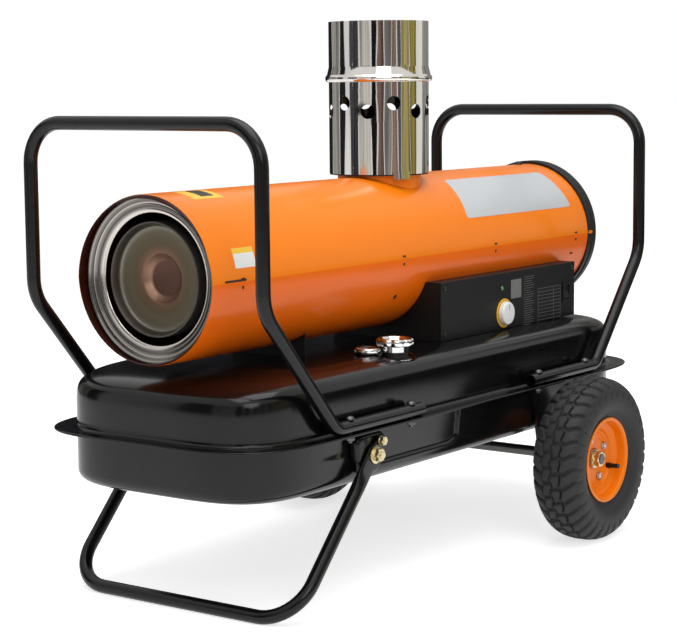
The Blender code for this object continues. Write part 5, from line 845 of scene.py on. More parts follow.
# %% [markdown]
# ## Leg brackets and their bolts
# A small pressed pan on each side of the tank holds the leg. Its outline is
# rounded, and the outline shrinks as it rises from the tank's wall to the web.
# A large yellow bolt is the pivot and a small one locks the leg.
# %% Bracket pans and bolts
LOCK_REACH, LOCK_ANGLE = 0.0215, math.radians(37.5)
LOCK = PIVOT + LOCK_REACH * np.array([math.sin(LOCK_ANGLE), 0, math.cos(LOCK_ANGLE)])
PAN_HALF, PAN_TOP, PAN_CORNER, PAN_SHEET = 33.5 * MM, 28.5 * MM, 13 * MM, 2.0 * MM
PAN_OUTLINE = mm([(33.5, 29.0), (-33.5, 29.0), (-33.5, 0.5), (-19.5, -27.8), (19.5, -27.8), (33.5, 0.5)])
PAN_STEPS = mm([(0.0, 181.4), (0.0, 183.0), (0.6, 186.5), (1.2, 189.6), (2.2, 191.6), (4.0, 192.8),
                (6.5, 193.15), (24, 193.15), (33, 193.15)])


def bracket_pan(sign):
    """One outline per step, (1 - inset / half width) of the first one, cut off level at its top."""
    rings = []
    for inset, y in PAN_STEPS:
        share = 1 - inset / PAN_HALF
        ring = rounded(PAN_OUTLINE * share, PAN_CORNER * max(share, 0.05), 8)
        if share > 0.5:
            ring[:, 1] = np.minimum(ring[:, 1], PAN_TOP - inset / 2)
        ring = ring + PIVOT[[0, 2]]
        rings.append(np.column_stack([ring[:, 0], np.full(len(ring), sign * y), ring[:, 1]]))
    return surface(np.array(rings))


for side, sign, axis in SIDES:
    piece(f"leg_bracket_{side}_pan", [bracket_pan(sign)], BLACK,
          replaces=[f"leg_bracket_{side}"], smooth=40, wall=PAN_SHEET)
    # The spare hole is a flat dark disc of painted shade.
    spare = (2 * PIVOT[0] - LOCK[0], sign * 193.0 * MM, LOCK[2])
    dot = turned([(0, 0), (3.8, 0), (3.8, 0.35), (0, 0.35)], axis, spare, 24, closed=False)
    piece(f"spare_hole_{side}", [dot], OPENING_SHADE_PAINT)
    at = (PIVOT[0], 0, PIVOT[2])
    washer = turned([(0.1, 198.8), (12.5, 198.8), (12.5, 200.8), (0.1, 200.8)], axis, at, 48, soft=0.4)
    nut = stand(hexagonal(9.6, 200.8, 209.3, 0.8), axis, at)
    stud = turned([(0, 186), (5, 186), (5, 212.0), (4.2, 212.8), (0, 212.8)], axis, at, 32, closed=False)
    piece(f"leg_pivot_{side}_hex", [washer, nut, stud], ZINC,
          replaces=[f"leg_pivot_bolt_{side}"])
    at = (LOCK[0], 0, LOCK[2])
    washer = turned([(0.1, 198.8), (6.8, 198.8), (6.8, 200.2), (0.1, 200.2)], axis, at, 36, soft=0.3)
    nut = stand(hexagonal(6.6, 200.2, 206.2), axis, at)
    stud = turned([(0, 193.9), (3.5, 193.9), (3.5, 207.6), (2.9, 208.2), (0, 208.2)], axis, at, 24,
                  closed=False)
    piece(f"leg_lock_{side}_hex", [washer, nut, stud], ZINC, "leg",
          [f"leg_lock_bolt_{side}"])
print("lock bolt at", LOCK.round(4))

# %% [markdown]
# ## Casing
# The casing is two bent sheets that meet at the seam in a slight point: each is
# an arc whose centre lies 4 mm beyond the seam. Their front edges are rolled in.
# The upper sheet has a hole for the flue spigot, so its middle is a plate with a
# hole whose grid runs from the circle outward to a square, laid on the arc.
# %% Arc and holed plate
FRONT_X, BACK_X = -0.4986, 0.4767
CASING_SHEET, EDGE_REACH = 1.2 * MM, 7.0 * MM
EDGE_DEPTH = {1: 5.5 * MM, -1: 3.5 * MM}


def rolled_in(x, y, up):
    """Depth (1 - sqrt(1 - t^2)) of the rolled front edge, full at the crown and none at the seam."""
    t = np.clip((FRONT_X + EDGE_REACH - x) / EDGE_REACH, 0, 1)
    return EDGE_DEPTH[up] * (1 - np.sqrt(1 - t ** 2)) * (1 - (y / ARC_HALF) ** 2)


def on_arc(x, y, up=1, lift=0.0):
    """z = centre + up sqrt(R^2 - y^2): the casing's height over a place in plan."""
    y = np.clip(y, -ARC_HALF, ARC_HALF)
    lift = lift - rolled_in(x, y, up)
    z = AXIS_Z - up * ARC_DROP + up * np.sqrt((ARC_R + lift) ** 2 - y ** 2)
    return np.stack([x, y, z], -1)


def arc_sheet(xs, ys, up=1):
    """The arc's grid over every x and y."""
    x, y = np.meshgrid(xs, ys, indexing="ij")
    return surface(on_arc(x, y, up), wrap_columns=False)


def arc_facing(part, up):
    """Face a sheet away from a line a little on the other side of the casing's axis."""
    return facing_away(part, (0, 0, AXIS_Z - up * 0.05))


def holed_plate(half_u, half_v, hole_r, hole_v=0.0, count=12, rings=6):
    """Rings that blend from a circle to the plate's border: (1-t) circle + t border."""
    t, one = np.linspace(-1, 1, count + 1)[:-1], np.ones(count)
    border = np.concatenate([np.stack([t, -one], -1), np.stack([one, t], -1),
                             np.stack([-t, one], -1), np.stack([-one, -t], -1)]) * [half_u, half_v]
    angle = np.arctan2(border[:, 1] - hole_v, border[:, 0])
    edge = np.stack([hole_r * np.cos(angle), hole_v + hole_r * np.sin(angle)], -1)
    share = np.linspace(0, 1, rings)[:, None, None] ** 1.4
    return edge * (1 - share) + border * share


# %% Casing sheets
BLOCK, SPIGOT_HOLE = 0.080, 0.0606
y_mid = np.linspace(-BLOCK, BLOCK, 25)
y_side = ARC_R * np.sin(np.linspace(math.asin(BLOCK / ARC_R), math.asin(ARC_HALF / ARC_R), 34)[1:])
y_all = np.concatenate([-y_side[::-1], y_mid, y_side])
front_edge = FRONT_X + EDGE_REACH * (1 - np.cos(np.linspace(0, np.pi / 2, 9)))
x_block = FLUE_X + y_mid
holed = holed_plate(BLOCK, BLOCK, SPIGOT_HOLE, count=24, rings=5)
parts = [arc_sheet([*front_edge, FRONT_X + 0.02, -0.25, FLUE_X - BLOCK], y_all),
         arc_sheet([FLUE_X + BLOCK, 0.30, BACK_X - 0.02, BACK_X], y_all),
         arc_sheet(x_block, [*-y_side[::-1], -BLOCK]),
         arc_sheet(x_block, [BLOCK, *y_side]),
         surface(on_arc(FLUE_X + holed[..., 0], holed[..., 1]))]
upper = joined([arc_facing(part, 1) for part in parts])
piece("casing_top_sheet", [upper], CASING_ORANGE, replaces=["casing_upper_shell"],
      smooth=40, wall=CASING_SHEET)
lower = arc_facing(arc_sheet([*front_edge, -0.2, 0.2, BACK_X], y_all, up=-1), -1)
# The bottom sheet wears the redder orange of painted shade.
piece("casing_bottom_sheet", [lower], SHADED_BELLY_ORANGE, replaces=["casing_lower_shell"],
      smooth=40, wall=CASING_SHEET)
print("casing from", FRONT_X, "to", BACK_X)

# %% [markdown]
# ## Flat things on the casing
# The badge, two bare labels and the slots at the seam are thin patches that
# follow the arc; slots, holes and seam screws are flat dark patches of painted
# shade. A patch is a grid in (x, angle); rows near its top and bottom are
# shortened so that its corners come out round.
# %% Patches on the arc
LABEL_SHEET, SLOTS_X = 0.25 * MM, (-0.437, -0.067, 0.185, 0.437)


def arc_patch(x0, x1, top, bottom, corner=0.3, up=1, lift=0.3, slant=(0, 0), rows=24, columns=24):
    """Grid over x0..x1 and the angles top..bottom from the crown; corner and lift in millimetres."""
    v = (1 - np.cos(np.linspace(0, np.pi, rows))) / 2
    edge = np.minimum(v, 1 - v) * math.radians(abs(bottom - top)) * ARC_R
    corner, radius = corner * MM, ARC_R + lift * MM
    into = np.clip(corner - edge, 0, corner)
    shrink = corner - np.sqrt(np.maximum(corner ** 2 - into ** 2, 0))
    left, right = x0 + slant[0] * v + shrink, x1 + slant[1] * v - shrink
    u = np.linspace(0, 1, columns)
    x = left[:, None] + (right - left)[:, None] * u
    angle = np.radians(top + (bottom - top) * v)[:, None] * np.ones_like(u)
    z = AXIS_Z + up * (radius * np.cos(angle) - ARC_DROP)
    return arc_facing(surface(np.stack([x, -radius * np.sin(angle), z], -1), wrap_columns=False), up)


def patch_piece(name, material, patch):
    """A thin plate from one patch."""
    piece(name, [patch], material, wall=LABEL_SHEET, smooth=60)


patch_piece("badge_plate", SILVER, arc_patch(0.139, 0.427, 25.4, 64.8, 6, slant=(-0.019, 0.011)))
patch_piece("front_label_yellow", LABEL_YELLOW, arc_patch(-0.450, -0.408, 66.4, 70.1))
patch_piece("front_label_white", LABEL_WHITE, arc_patch(-0.450, -0.408, 70.1, 79.6))
patch_piece("top_label_yellow", LABEL_YELLOW, arc_patch(-0.446, -0.386, 3.0, 22.5))
patch_piece("top_label_dark", BLACK_PLASTIC,
            arc_patch(-0.424, -0.399, 4.5, 18.5, lift=0.6))
# Slots, the slit and the holes are dark patches of painted shade, and so are the screws below the slots.
for number, x in enumerate(SLOTS_X, 1):
    opening = arc_patch(x - 4 * MM, x + 4 * MM, 85.9, 87.3, 0.8, lift=0.25, rows=8, columns=10)
    patch_piece(f"seam_slot_{number}", OPENING_SHADE_PAINT, opening)
    screw = arc_patch(x - 2.2 * MM, x + 2.2 * MM, 83.3, 85.5, 2.1, up=-1, rows=10, columns=10)
    patch_piece(f"seam_screw_{number}", OPENING_SHADE_PAINT, screw)
patch_piece("seam_slit", OPENING_SHADE_PAINT,
            arc_patch(-0.474, -0.430, 86.6, 88.0, lift=0.15, rows=4, columns=8))
patch_piece("screw_hole", OPENING_SHADE_PAINT,
            arc_patch(-0.0720, -0.0640, 57.0, 61.0, 3.9, up=-1, lift=0.2, rows=12, columns=12))
patch_piece("low_slot", OPENING_SHADE_PAINT,
            arc_patch(0.424, 0.434, 72.2, 73.7, 0.6, up=-1, lift=0.2, rows=6, columns=8))
print("patches made")

# %% Stud and seam tab
TOP_STUD = [(0, 5.6), (3.0, 5.2), (5.8, 3.6), (7.0, 1.2), (7.4, -1.0), (0, -1.0)]
SEAM_TAB = mm([(-4, 477), (-4, 485), (-2.5, 487), (2.5, 487), (4, 485), (4, 477)])
stud = turned(TOP_STUD, "+Z", (0.446, 0, AXIS_Z + HALF_HEIGHT), 32, closed=False)
piece("top_stud", [stud], BLACK_PLASTIC)
tab_rings = [np.column_stack([SEAM_TAB[:, 1], np.full(6, -y), AXIS_Z + 1.5 * MM + SEAM_TAB[:, 0] * 0.6])
             for y in (0.1176, 0.1192)]
piece("seam_tab", [capped(np.array(tab_rings))], ORANGE)
print("pieces so far:", len(made_pieces))

# %% [markdown]
# ## Outlet ring and drum front
# The warm air leaves round the heat exchanger. A steel ring with three soft steps
# closes the gap to the casing: its depth is a slope less a sine wave. The drum's
# end, browned by heat, sits behind its own rim and has a deeper round boss.
# %% Outlet and drum
OUTLET_X, DRUM_X = FRONT_X + 11.0 * MM, FRONT_X + 19.0 * MM
RING_EDGE = [(110.9, 20), (110.9, 0.9), (110.7, 0.5)]
RING_LIP = [(88.0, 10.6), (87.5, 11.4), (87.6, 12.4), (88.6, 12.9)]
RING_END = [(109.7, 2.2), (109.7, 20)]
DRUM = [(0, 27.4), (22.6, 27.2), (25.0, 26.6), (26.3, 25.2), (32.6, 17.6), (33.8, 16.4), (36.0, 15.9),
        (52, 14.9), (66.6, 13.9), (68.8, 13.2), (69.8, 12.0), (70.8, 9.0), (73.2, 1.4), (74.0, 0.4),
        (74.9, 0.0), (75.9, 0.4), (76.5, 1.6), (76.5, 729.6), (75.0, 729.6), (75.0, 15.0), (69.4, 15.2),
        (52, 16.4), (35.0, 17.6), (34.0, 18.6), (27.2, 26.8), (25.4, 28.4), (22.6, 28.9), (0, 29.0)]
SPIGOT = [(60, 70.0), (60, 114.0), (58.5, 114.0), (58.5, 70.0)]

u = np.linspace(0, 1, 61)
steps = np.stack([110.2 - 21.4 * u, 0.4 + 9.8 * u - 0.50 * np.sin(6 * np.pi * u)], -1)
behind = (steps + [0.5, 1.3])[::-1]
ring = np.concatenate([RING_EDGE, steps, RING_LIP, behind[:-2], RING_END])
# The ring's colour rings are painted highlights and painted shade.
piece("outlet_steps", [turned(ring, "+X", (OUTLET_X, 0, AXIS_Z), 160)], OUTLET_PAINTED_LIGHT_STEEL,
      replaces=["outlet_ring"])
parts = [turned(DRUM, "+X", (DRUM_X, 0, AXIS_Z), 128, closed=False),
         turned(SPIGOT, "+Z", (FLUE_X, 0, AXIS_Z), 96)]
piece("drum_dished", parts, HEATED, replaces=["heat_exchanger_drum"])
print("drum face at x =", round(DRUM_X, 4))

# %% [markdown]
# ## Flue
# The flue adapter is a rolled stainless pipe with one bead and a row of draught
# holes at two heights. Each hole sits in a 30 degree block of the pipe whose
# grid runs from the hole's circle to the block's border, so twelve blocks make
# the band and the rest is plain lathe work. It stands on the brim of a collar,
# black as painted shade under the pipe's foot, and an orange neck below it goes
# down to the curved casing.
# %% Flue pipe
FLUE_LOW, FLUE_TOP = 0.5645, 0.790
BAND_LOW, BAND_HIGH = 0.6405, 0.6865
HOLES, FIRST_HOLE, PER_BLOCK = 12, -8.0, 12
HOLE_R, HOLE_HEIGHTS = 10.5 * MM, (0.6695, 0.6570)
BLOCK_TURN, BAND_Z = 360 / HOLES, (BAND_HIGH + BAND_LOW) / 2
BEAD_Z, BEAD_R = 0.706, 5.4 * MM
BELOW_BEAD = [(0, BAND_HIGH), (0, 0.694), (0, 0.6995)]
ABOVE_BEAD = [(2.7 * MM, 0.7116), (1.4 * MM, 0.7170), (0.15 * MM, 0.7224), (0, 0.7232), (0, 0.7260),
              (0, 0.76), (0, FLUE_TOP)]


def on_pipe(turn, z, radius):
    """(axis + r cos t, r sin t, z): places at a radius round the flue's axis."""
    turn, z, radius = np.broadcast_arrays(turn, z, radius)
    return np.stack([FLUE_X + radius * np.cos(turn), radius * np.sin(turn), z], -1)


def pipe_rows(levels):
    """Rows of the pipe's skin at (lift, z) levels, 144 columns from the first block's edge."""
    column = np.arange(HOLES * PER_BLOCK)
    turn = np.radians(FIRST_HOLE - BLOCK_TURN / 2 + column * BLOCK_TURN / PER_BLOCK)
    lift, z = np.array(levels, float).T[..., None]
    return surface(on_pipe(turn, z, FLUE_R + lift))


def pipe_facing(part):
    """Face a patch of the pipe away from the flue's axis."""
    return facing_away(part, (FLUE_X, 0, 0), weight=(1, 1, 0))


parts = []
for number in range(HOLES):
    flat = holed_plate(math.radians(BLOCK_TURN / 2) * FLUE_R, (BAND_HIGH - BAND_LOW) / 2, HOLE_R,
                       hole_v=HOLE_HEIGHTS[number % 2] - BAND_Z, count=PER_BLOCK)
    turn = math.radians(FIRST_HOLE + BLOCK_TURN * number) + flat[..., 0] / FLUE_R
    parts.append(surface(on_pipe(turn, flat[..., 1] + BAND_Z, FLUE_R)))
parts.append(pipe_rows([(0, z) for z in np.linspace(FLUE_LOW, BAND_LOW, 6)]))
angle = np.radians(np.linspace(-90, 62, 10))
bead = np.stack([BEAD_R * np.cos(angle) ** 0.8, BEAD_Z + BEAD_R * np.sin(angle)], -1)
parts.append(pipe_rows([*BELOW_BEAD, *bead, *ABOVE_BEAD]))
flue_skin = joined([pipe_facing(part) for part in parts])
piece("flue_adapter", [flue_skin], STAINLESS, replaces=["flue_pipe"], smooth=40,
      wall=2 * HALF_SHEET)
print("flue points:", len(flue_skin[0]))


# %% Collar, laps and clip
BRIM = [(60.6, 564.0), (60.6, 562.1), (63.4, 562.1), (63.8, 562.7), (74.4, 562.7), (74.4, 564.0)]
NECK_INNER, NECK_OUTER, NECK_TOP = 60.8 * MM, 62.8 * MM, 562.4 * MM
NECK_GAP, NECK_LEAST = 0.3 * MM, 0.5 * MM
LAPS = (("flue_lap_low", 0.5655, 0.699), ("flue_lap_high", 0.7236, 0.789))
LAP_ANGLE, LAP_HALF, LAP_LIFT, LAP_SHEET = -178, 2.0, 0.5 * MM, 0.45 * MM
CLIP_ANGLE, CLIP_HALF, CLIP_LIFT, CLIP_SHEET = -119, 10.0, 1.8 * MM, 1.4 * MM
CLIP_LOW, CLIP_HIGH = 0.5575, 0.5690


def neck_wall():
    """A ring wall between two radii, from a small gap above the curved casing up to the neck's top."""
    turn = np.linspace(0, 2 * np.pi, 144, endpoint=False)
    tops = [on_pipe(turn, NECK_TOP, radius) for radius in (NECK_INNER, NECK_OUTER)]
    feet = [on_arc(top[:, 0], top[:, 1], lift=NECK_GAP) for top in tops]
    for foot in feet:
        foot[:, 2] = np.minimum(foot[:, 2], NECK_TOP - NECK_LEAST)
    return surface(np.array([feet[0], tops[0], tops[1], feet[1]]), wrap_rows=True)


def pipe_strip(middle, half, low, high, lift, columns=6):
    """A strip of the pipe's skin round an angle, from low to high and raised by lift."""
    turn = np.radians(np.linspace(middle - half, middle + half, columns))
    z = np.linspace(low, high, 12)[:, None]
    return pipe_facing(surface(on_pipe(turn, z, FLUE_R + lift), wrap_columns=False))


# The brim is black as painted shade under the flue's foot.
piece("flue_brim_painted_shade", [turned(BRIM, "+Z", (FLUE_X, 0, 0), 144)], GUARD_BLACK,
      replaces=["flue_collar"])
piece("flue_neck", [neck_wall()], ORANGE)
for name, low, high in LAPS:
    lap = pipe_strip(LAP_ANGLE, LAP_HALF, low, high, LAP_LIFT)
    piece(name, [lap], STAINLESS, wall=LAP_SHEET)
clip = pipe_strip(CLIP_ANGLE, CLIP_HALF, CLIP_LOW, CLIP_HIGH, CLIP_LIFT, columns=12)
piece("flue_clip", [clip], STAINLESS, wall=CLIP_SHEET)
print("flue dressed")

# %% [markdown]
# ## Fan guard and fan
# Behind the casing a black moulded ring holds a wire guard. The ring is a lathe
# profile with two ridges; the guard is rings and spokes of round wire. The fan's
# blades are thin twisted sheets: pitch falls from root to tip.
# %% Rear guard
GUARD = (BACK_X, 0, AXIS_Z)
GUARD_RING = [(108.2, -6), (108.2, 0.6), (112, 0.8), (116.2, 0.8), (117.6, 1.6), (117.8, 8), (116.6, 9.6),
              (115.0, 10.6), (115.0, 13.2), (116.6, 14.4), (117.6, 15.6), (117.6, 25), (116.4, 28.0),
              (113.6, 29.8), (110.2, 30.0), (109.0, 29.0), (109.4, 27.4), (112.6, 26.6), (114.4, 23),
              (113.0, 12), (113.2, 3.0), (107.0, 2.6), (107.0, -6)]
GUARD_BOSS = [(0.5, 24.2), (17, 24.2), (18, 26), (17, 29.4), (0.5, 29.4)]
WIRE_R, WIRE_X, SPOKE_R, SPOKE_X = 1.1, 27.6, 1.4, 25.8

parts = [turned(GUARD_RING, "+X", GUARD, 144, soft=0.6)]
parts += [turned(circle(WIRE_R, 8) + [radius, WIRE_X], "+X", GUARD, 96)
          for radius in np.linspace(20, 106, 9)]
for angle in np.radians(np.arange(8) * 45.0):
    spoke = mm([(SPOKE_X, out * math.cos(angle), out * math.sin(angle)) for out in (16, 60, 110.5)])
    parts.append(surface(along(GUARD + spoke, circle(SPOKE_R * MM, 8))))
parts.append(turned(GUARD_BOSS, "+X", GUARD, 48, soft=0.8))
piece("rear_guard_wires", parts, GUARD_BLACK, replaces=["rear_guard"])
print("guard parts:", len(parts))

# %% Fan
FAN = (0.418, 0, AXIS_Z)
FAN_HUB = [(5.3, 0), (21, 0), (22, 2), (22, 20), (19, 26), (5.3, 26)]
BLADES, BLADE_ROOT, BLADE_TIP, BLADE_SHEET = 5, 20.5, 97.0, 1.8
BLADE_MIDDLE, BLADE_CAMBER, ROUND_TIP_FROM, ROUND_TIP_REACH = 13, 3.5, 0.86, 0.17


def fan_blade(turned_by):
    """Half chord 13 + 12 sin(2.4 s) mm, pitch 40 - 17 s degrees, with s from 0 at the root to 1."""
    share = np.linspace(0, 1, 14)[:, None]
    across = np.linspace(-1, 1, 12)[None]
    radius = BLADE_ROOT + (BLADE_TIP - BLADE_ROOT) * share
    pitch = np.radians(40 - 17 * share)
    near_tip = ((share - ROUND_TIP_FROM) / ROUND_TIP_REACH).clip(0, 1)
    chord = across * (13 + 12 * np.sin(share * 2.4)) * np.sqrt(1 - 0.75 * near_tip ** 2)
    camber = BLADE_CAMBER * (1 - across ** 2)
    turn = turned_by + chord * np.cos(pitch) / radius
    height = BLADE_MIDDLE + chord * np.sin(pitch) + camber * np.cos(pitch)
    front = mm(np.stack([radius * np.cos(turn), radius * np.sin(turn), height], -1))
    back = front - [0, 0, BLADE_SHEET * MM]
    return capped(np.concatenate([front, back[:, ::-1]], 1))


parts = [turned(FAN_HUB, "+X", FAN, soft=1.5, steps=3)]
parts += [stand(fan_blade(math.radians(360 / BLADES * number)), "+X", FAN) for number in range(BLADES)]
piece("fan_blades", parts, BLACK_PLASTIC, "fan", ["fan_rotor"], smooth=40)
print("fan parts:", len(parts))

# %% [markdown]
# ## Control panel
# The box is folded sheet. Its front plate carries a white thermostat knob on a
# yellow dial, a green lamp and a rocker switch. The fields beside them are bare
# plates and ruled lines of uneven length.
# %% Panel plate and fields
BOX_X0, BOX_X1, BOX_Y = 0.0, 0.398, -0.135
BOX_Z0, BOX_Z1 = 0.3203, 0.407
FACE_Y = BOX_Y - 0.05 * MM
FIELD_X, FIELD_Z, FIELD_UPRIGHTS = (0.281, 0.352), (0.3115, 0.373), (0.281, 0.3295, 0.3515)
FIELD_ROWS, RULE = 12, 0.5 * MM
NOTES_X, NOTES_Z, NOTE_ROWS, NOTE_RULE = 0.237, (0.3200, 0.3950), 22, 0.55 * MM
SCREW_HEAD = [(0, 2.2), (2.2, 2.0), (3.6, 1.2), (4.0, 0.2), (4.0, 0), (0, 0)]


def slab(x, y, z, edge=0.4):
    """A box from three (low, high) pairs with edges bevelled by edge mm, as outlines along Y."""
    edge = edge * MM
    corners = np.array([(x[0], z[0]), (x[1], z[0]), (x[1], z[1]), (x[0], z[1])])
    outline = rounded(corners, 2 * edge, 3)
    outward = np.sign(outline - corners.mean(0))
    rings = []
    for depth, inset in ((y[0], edge), (y[0] + edge, 0), (y[1] - edge, 0), (y[1], edge)):
        ring = outline - outward * inset
        rings.append(np.column_stack([ring[:, 0], np.full(len(ring), depth), ring[:, 1]]))
    return capped(np.array(rings))


def raised(x, z, high=0.2, edge=0.05):
    """A flat slab on the panel's face, high and edge in millimetres."""
    return slab(x, (FACE_Y - high * MM, FACE_Y), z, edge)


plate = slab((BOX_X0, BOX_X1), (BOX_Y, BOX_Y + 1.5 * MM), (BOX_Z0, BOX_Z1))
piece("panel_plate", [plate], PANEL_BLACK, replaces=["control_panel"])
piece("label_plate", [raised((0.198, 0.229), (0.365, 0.394), 0.25, 0.1)], LABEL_GREY)
rules = [raised(FIELD_X, (z, z + RULE)) for z in np.linspace(FIELD_Z[0], FIELD_Z[1] - RULE, FIELD_ROWS)]
rules += [raised((x, x + RULE), FIELD_Z) for x in FIELD_UPRIGHTS]
piece("ruled_field", rules, LABEL_GREY)
notes = []
for row, z in enumerate(np.linspace(*NOTES_Z, NOTE_ROWS)):
    width = 0.020 + 0.012 * abs(math.sin(row * 2.3))
    notes.append(raised((NOTES_X, NOTES_X + width), (z, z + NOTE_RULE)))
piece("ruled_notes", notes, LABEL_GREY)
screws = [turned(SCREW_HEAD, "-Y", (x, BOX_Y, z), 24, closed=False)
          for x in (0.010, 0.390) for z in (0.398, 0.3285)]
piece("panel_screws", screws, BLACK_PLASTIC)
print("panel fields: label plate, ruled field of", len(rules), "lines")

# %% Knob, dial and lamp
KNOB, LAMP = (0.177, BOX_Y - 0.3 * MM, 0.345), (0.170, BOX_Y - 0.3 * MM, 0.384)
DIAL = [(7, 0), (22.5, 0), (22.5, 1.0), (7, 1.0)]
CAP = [(0, -12), (3, -12), (3, 1.3), (17.4, 1.3), (18.0, 2.0), (17.7, 7.0), (17.0, 8.9), (15.6, 9.7),
       (0, 9.8)]
BULB = [(0, 2.8), (1.6, 2.5), (2.9, 1.6), (3.4, 0.6), (3.5, -10), (0, -10)]
BEZEL = [(3.4, 0), (4.6, 0), (4.6, 0.6), (4.2, 1.0), (3.4, 1.0)]


def ticks(angles, reach, half_width, heights, axis, place):
    """Small bars that point at the middle of a dial, one at each angle; sizes in millimetres."""
    bar = np.array([(reach[0], -half_width), (reach[1], -half_width),
                    (reach[1], half_width), (reach[0], half_width)])
    made = []
    for angle in np.radians(angles):
        c, s = math.cos(angle), math.sin(angle)
        flat = bar @ [[c, s], [-s, c]]
        rings = mm([np.column_stack([flat, np.full(4, height)]) for height in heights])
        made.append(stand(capped(rings), axis, place))
    return made


piece("dial_disc", [turned(DIAL, "-Y", KNOB, 96, soft=0.3)], YELLOW,
      replaces=["dial_ring"])
dial_ticks = ticks(np.linspace(-40, 220, 14), (19.4, 21.6), 0.3, (0.9, 1.1), "-Y", KNOB)
piece("dial_ticks", dial_ticks, BLACK_PLASTIC)
piece("knob_cap", [turned(CAP, "-Y", KNOB, 96, soft=0.5, steps=3, closed=False)], WHITE,
      "knob", ["thermostat_knob"])
pointer = slab((0.1765, 0.1775), (BOX_Y - 10.3 * MM, BOX_Y - 10.0 * MM), (0.350, 0.359), 0.1)
piece("knob_pointer", [pointer], LABEL_GREY, "knob")
piece("lamp_lens", [turned(BULB, "-Y", LAMP, 32, closed=False)], GREEN,
      replaces=["pilot_lamp"])
piece("lamp_bezel", [turned(BEZEL, "-Y", LAMP, 32)], BLACK_PLASTIC)
print("controls made")

# %% [markdown]
# ## Filler cap and fuel gauge
# The chromed cap has scallops for the fingers: its radius swings with the angle
# as a power of a cosine. It screws on a black neck. The gauge beside it is a
# chrome bezel with a pale face under a clear domed lens.
# %% Filler
SEAT = (*FILLER, FILLER_SEAT)
COLLAR = [(17, -15), (17, 0.3), (23.2, 0.3), (23.5, 0.8), (23.5, 3.0), (22.8, 3.3), (18.6, 3.4),
          (18.6, 9), (17.4, 9.4), (17, 20), (15, 20), (15, -15)]
TRIM = [(23.6, 0.4), (25.4, 0.4), (25.4, 2.2), (23.6, 2.2)]
CAP_TOP, SCALLOPS, SCALLOP_DEPTH = 31.4, 8, 2.6
CAP_LEVELS = [(0, 28.4, 0), (10, 28.3, 0), (17.5, 28.3, 0), (18.6, 29.0, 0), (20.0, 30.9, 0.2),
              (22.6, CAP_TOP, 0.5), (25.6, 30.6, 0.9), (26.8, 28.8, 1), (27, 26.6, 1), (27, 23.2, 1),
              (26.4, 21.4, 1), (25.0, 20.5, 0.8), (19.5, 20.4, 0), (19.5, 12.4, 0), (17.9, 12.4, 0),
              (17.9, 20.4, 0), (0, 20.4, 0)]


def scalloped(levels, columns=192):
    """r = radius - lobed depth (0.5 - 0.5 cos 8t)^3 for levels of (radius, height, lobed)."""
    t = np.linspace(0, 2 * np.pi, columns, endpoint=False)
    radius, height, lobed = np.array(levels, float).T[..., None]
    r = radius - lobed * SCALLOP_DEPTH * (0.5 - 0.5 * np.cos(SCALLOPS * t)) ** 3
    return surface(mm(np.stack([r * np.cos(t), r * np.sin(t), height + 0 * t], -1)))


piece("filler_collar", [turned(COLLAR, "+Z", SEAT, soft=0.4)], BLACK_PLASTIC,
      replaces=["filler_neck"])
piece("filler_trim", [turned(TRIM, "+Z", SEAT, soft=0.6, steps=3)], CHROME)
piece("filler_cap_lobed", [stand(scalloped(CAP_LEVELS), "+Z", SEAT)], CHROME, "cap",
      ["filler_cap"], smooth=40)
print("cap top at z =", round(FILLER_SEAT + CAP_TOP * MM, 4))

# %% Gauge
GAUGE = (-0.161, -0.116, PLATEAU + 0.3 * MM)
GAUGE_BODY = [(0, -18), (11, -18), (11, 0), (16.2, 0), (18.8, 1.6), (19.2, 3.4), (19.2, 6.4), (18.6, 8.2),
              (17.4, 9.0), (16.2, 8.6), (16.0, 6.2), (1.2, 6.0), (1.2, 6.8), (0, 6.8)]
GAUGE_DISC = [(1.6, 6.1), (15.8, 6.25), (15.8, 6.35), (1.6, 6.35)]
body = turned(GAUGE_BODY, "+Z", GAUGE, 72, soft=0.5, closed=False)
piece("gauge_bezel", [body], CHROME, replaces=["gauge_body"])
piece("gauge_face", [turned(GAUGE_DISC, "+Z", GAUGE)], LABEL_WHITE)
gauge_ticks = ticks(np.linspace(-60, 240, 9), (11.6, 14.6), 0.35, (6.3, 6.5), "+Z", GAUGE)
piece("gauge_ticks", gauge_ticks, BLACK_PLASTIC)
print("gauge at", GAUGE)


# %% [markdown]
# The lens is a shallow clear dome. Glass keeps a plain transmission weight and
# little roughness, and its wall is a real thickness so that light bends twice.
# %% Lens
def clear_glass():
    """Plain transmitting Principled glass."""
    made = bpy.data.materials.new("clear_lens")
    made.use_nodes = True
    feed(made.node_tree.nodes["Principled BSDF"], {
        "Base Color": (0.95, 0.97, 0.96, 1), "Roughness": 0.03, "IOR": 1.45, "Transmission Weight": 1.0})
    return made


def dome(radius, foot, rise):
    """r = R sin a, h = foot + rise cos a, from the crown down to the rim."""
    a = np.radians(np.linspace(0, 90, 12))
    return np.stack([radius * np.sin(a), foot + rise * np.cos(a)], -1)


lens = np.concatenate([dome(15.8, 8.2, 2.2), dome(15.0, 8.0, 1.6)[::-1]])
piece("gauge_lens", [turned(lens, "+Z", GAUGE, closed=False)], clear_glass())
print("lens height:", lens[:, 1].max(), "mm")

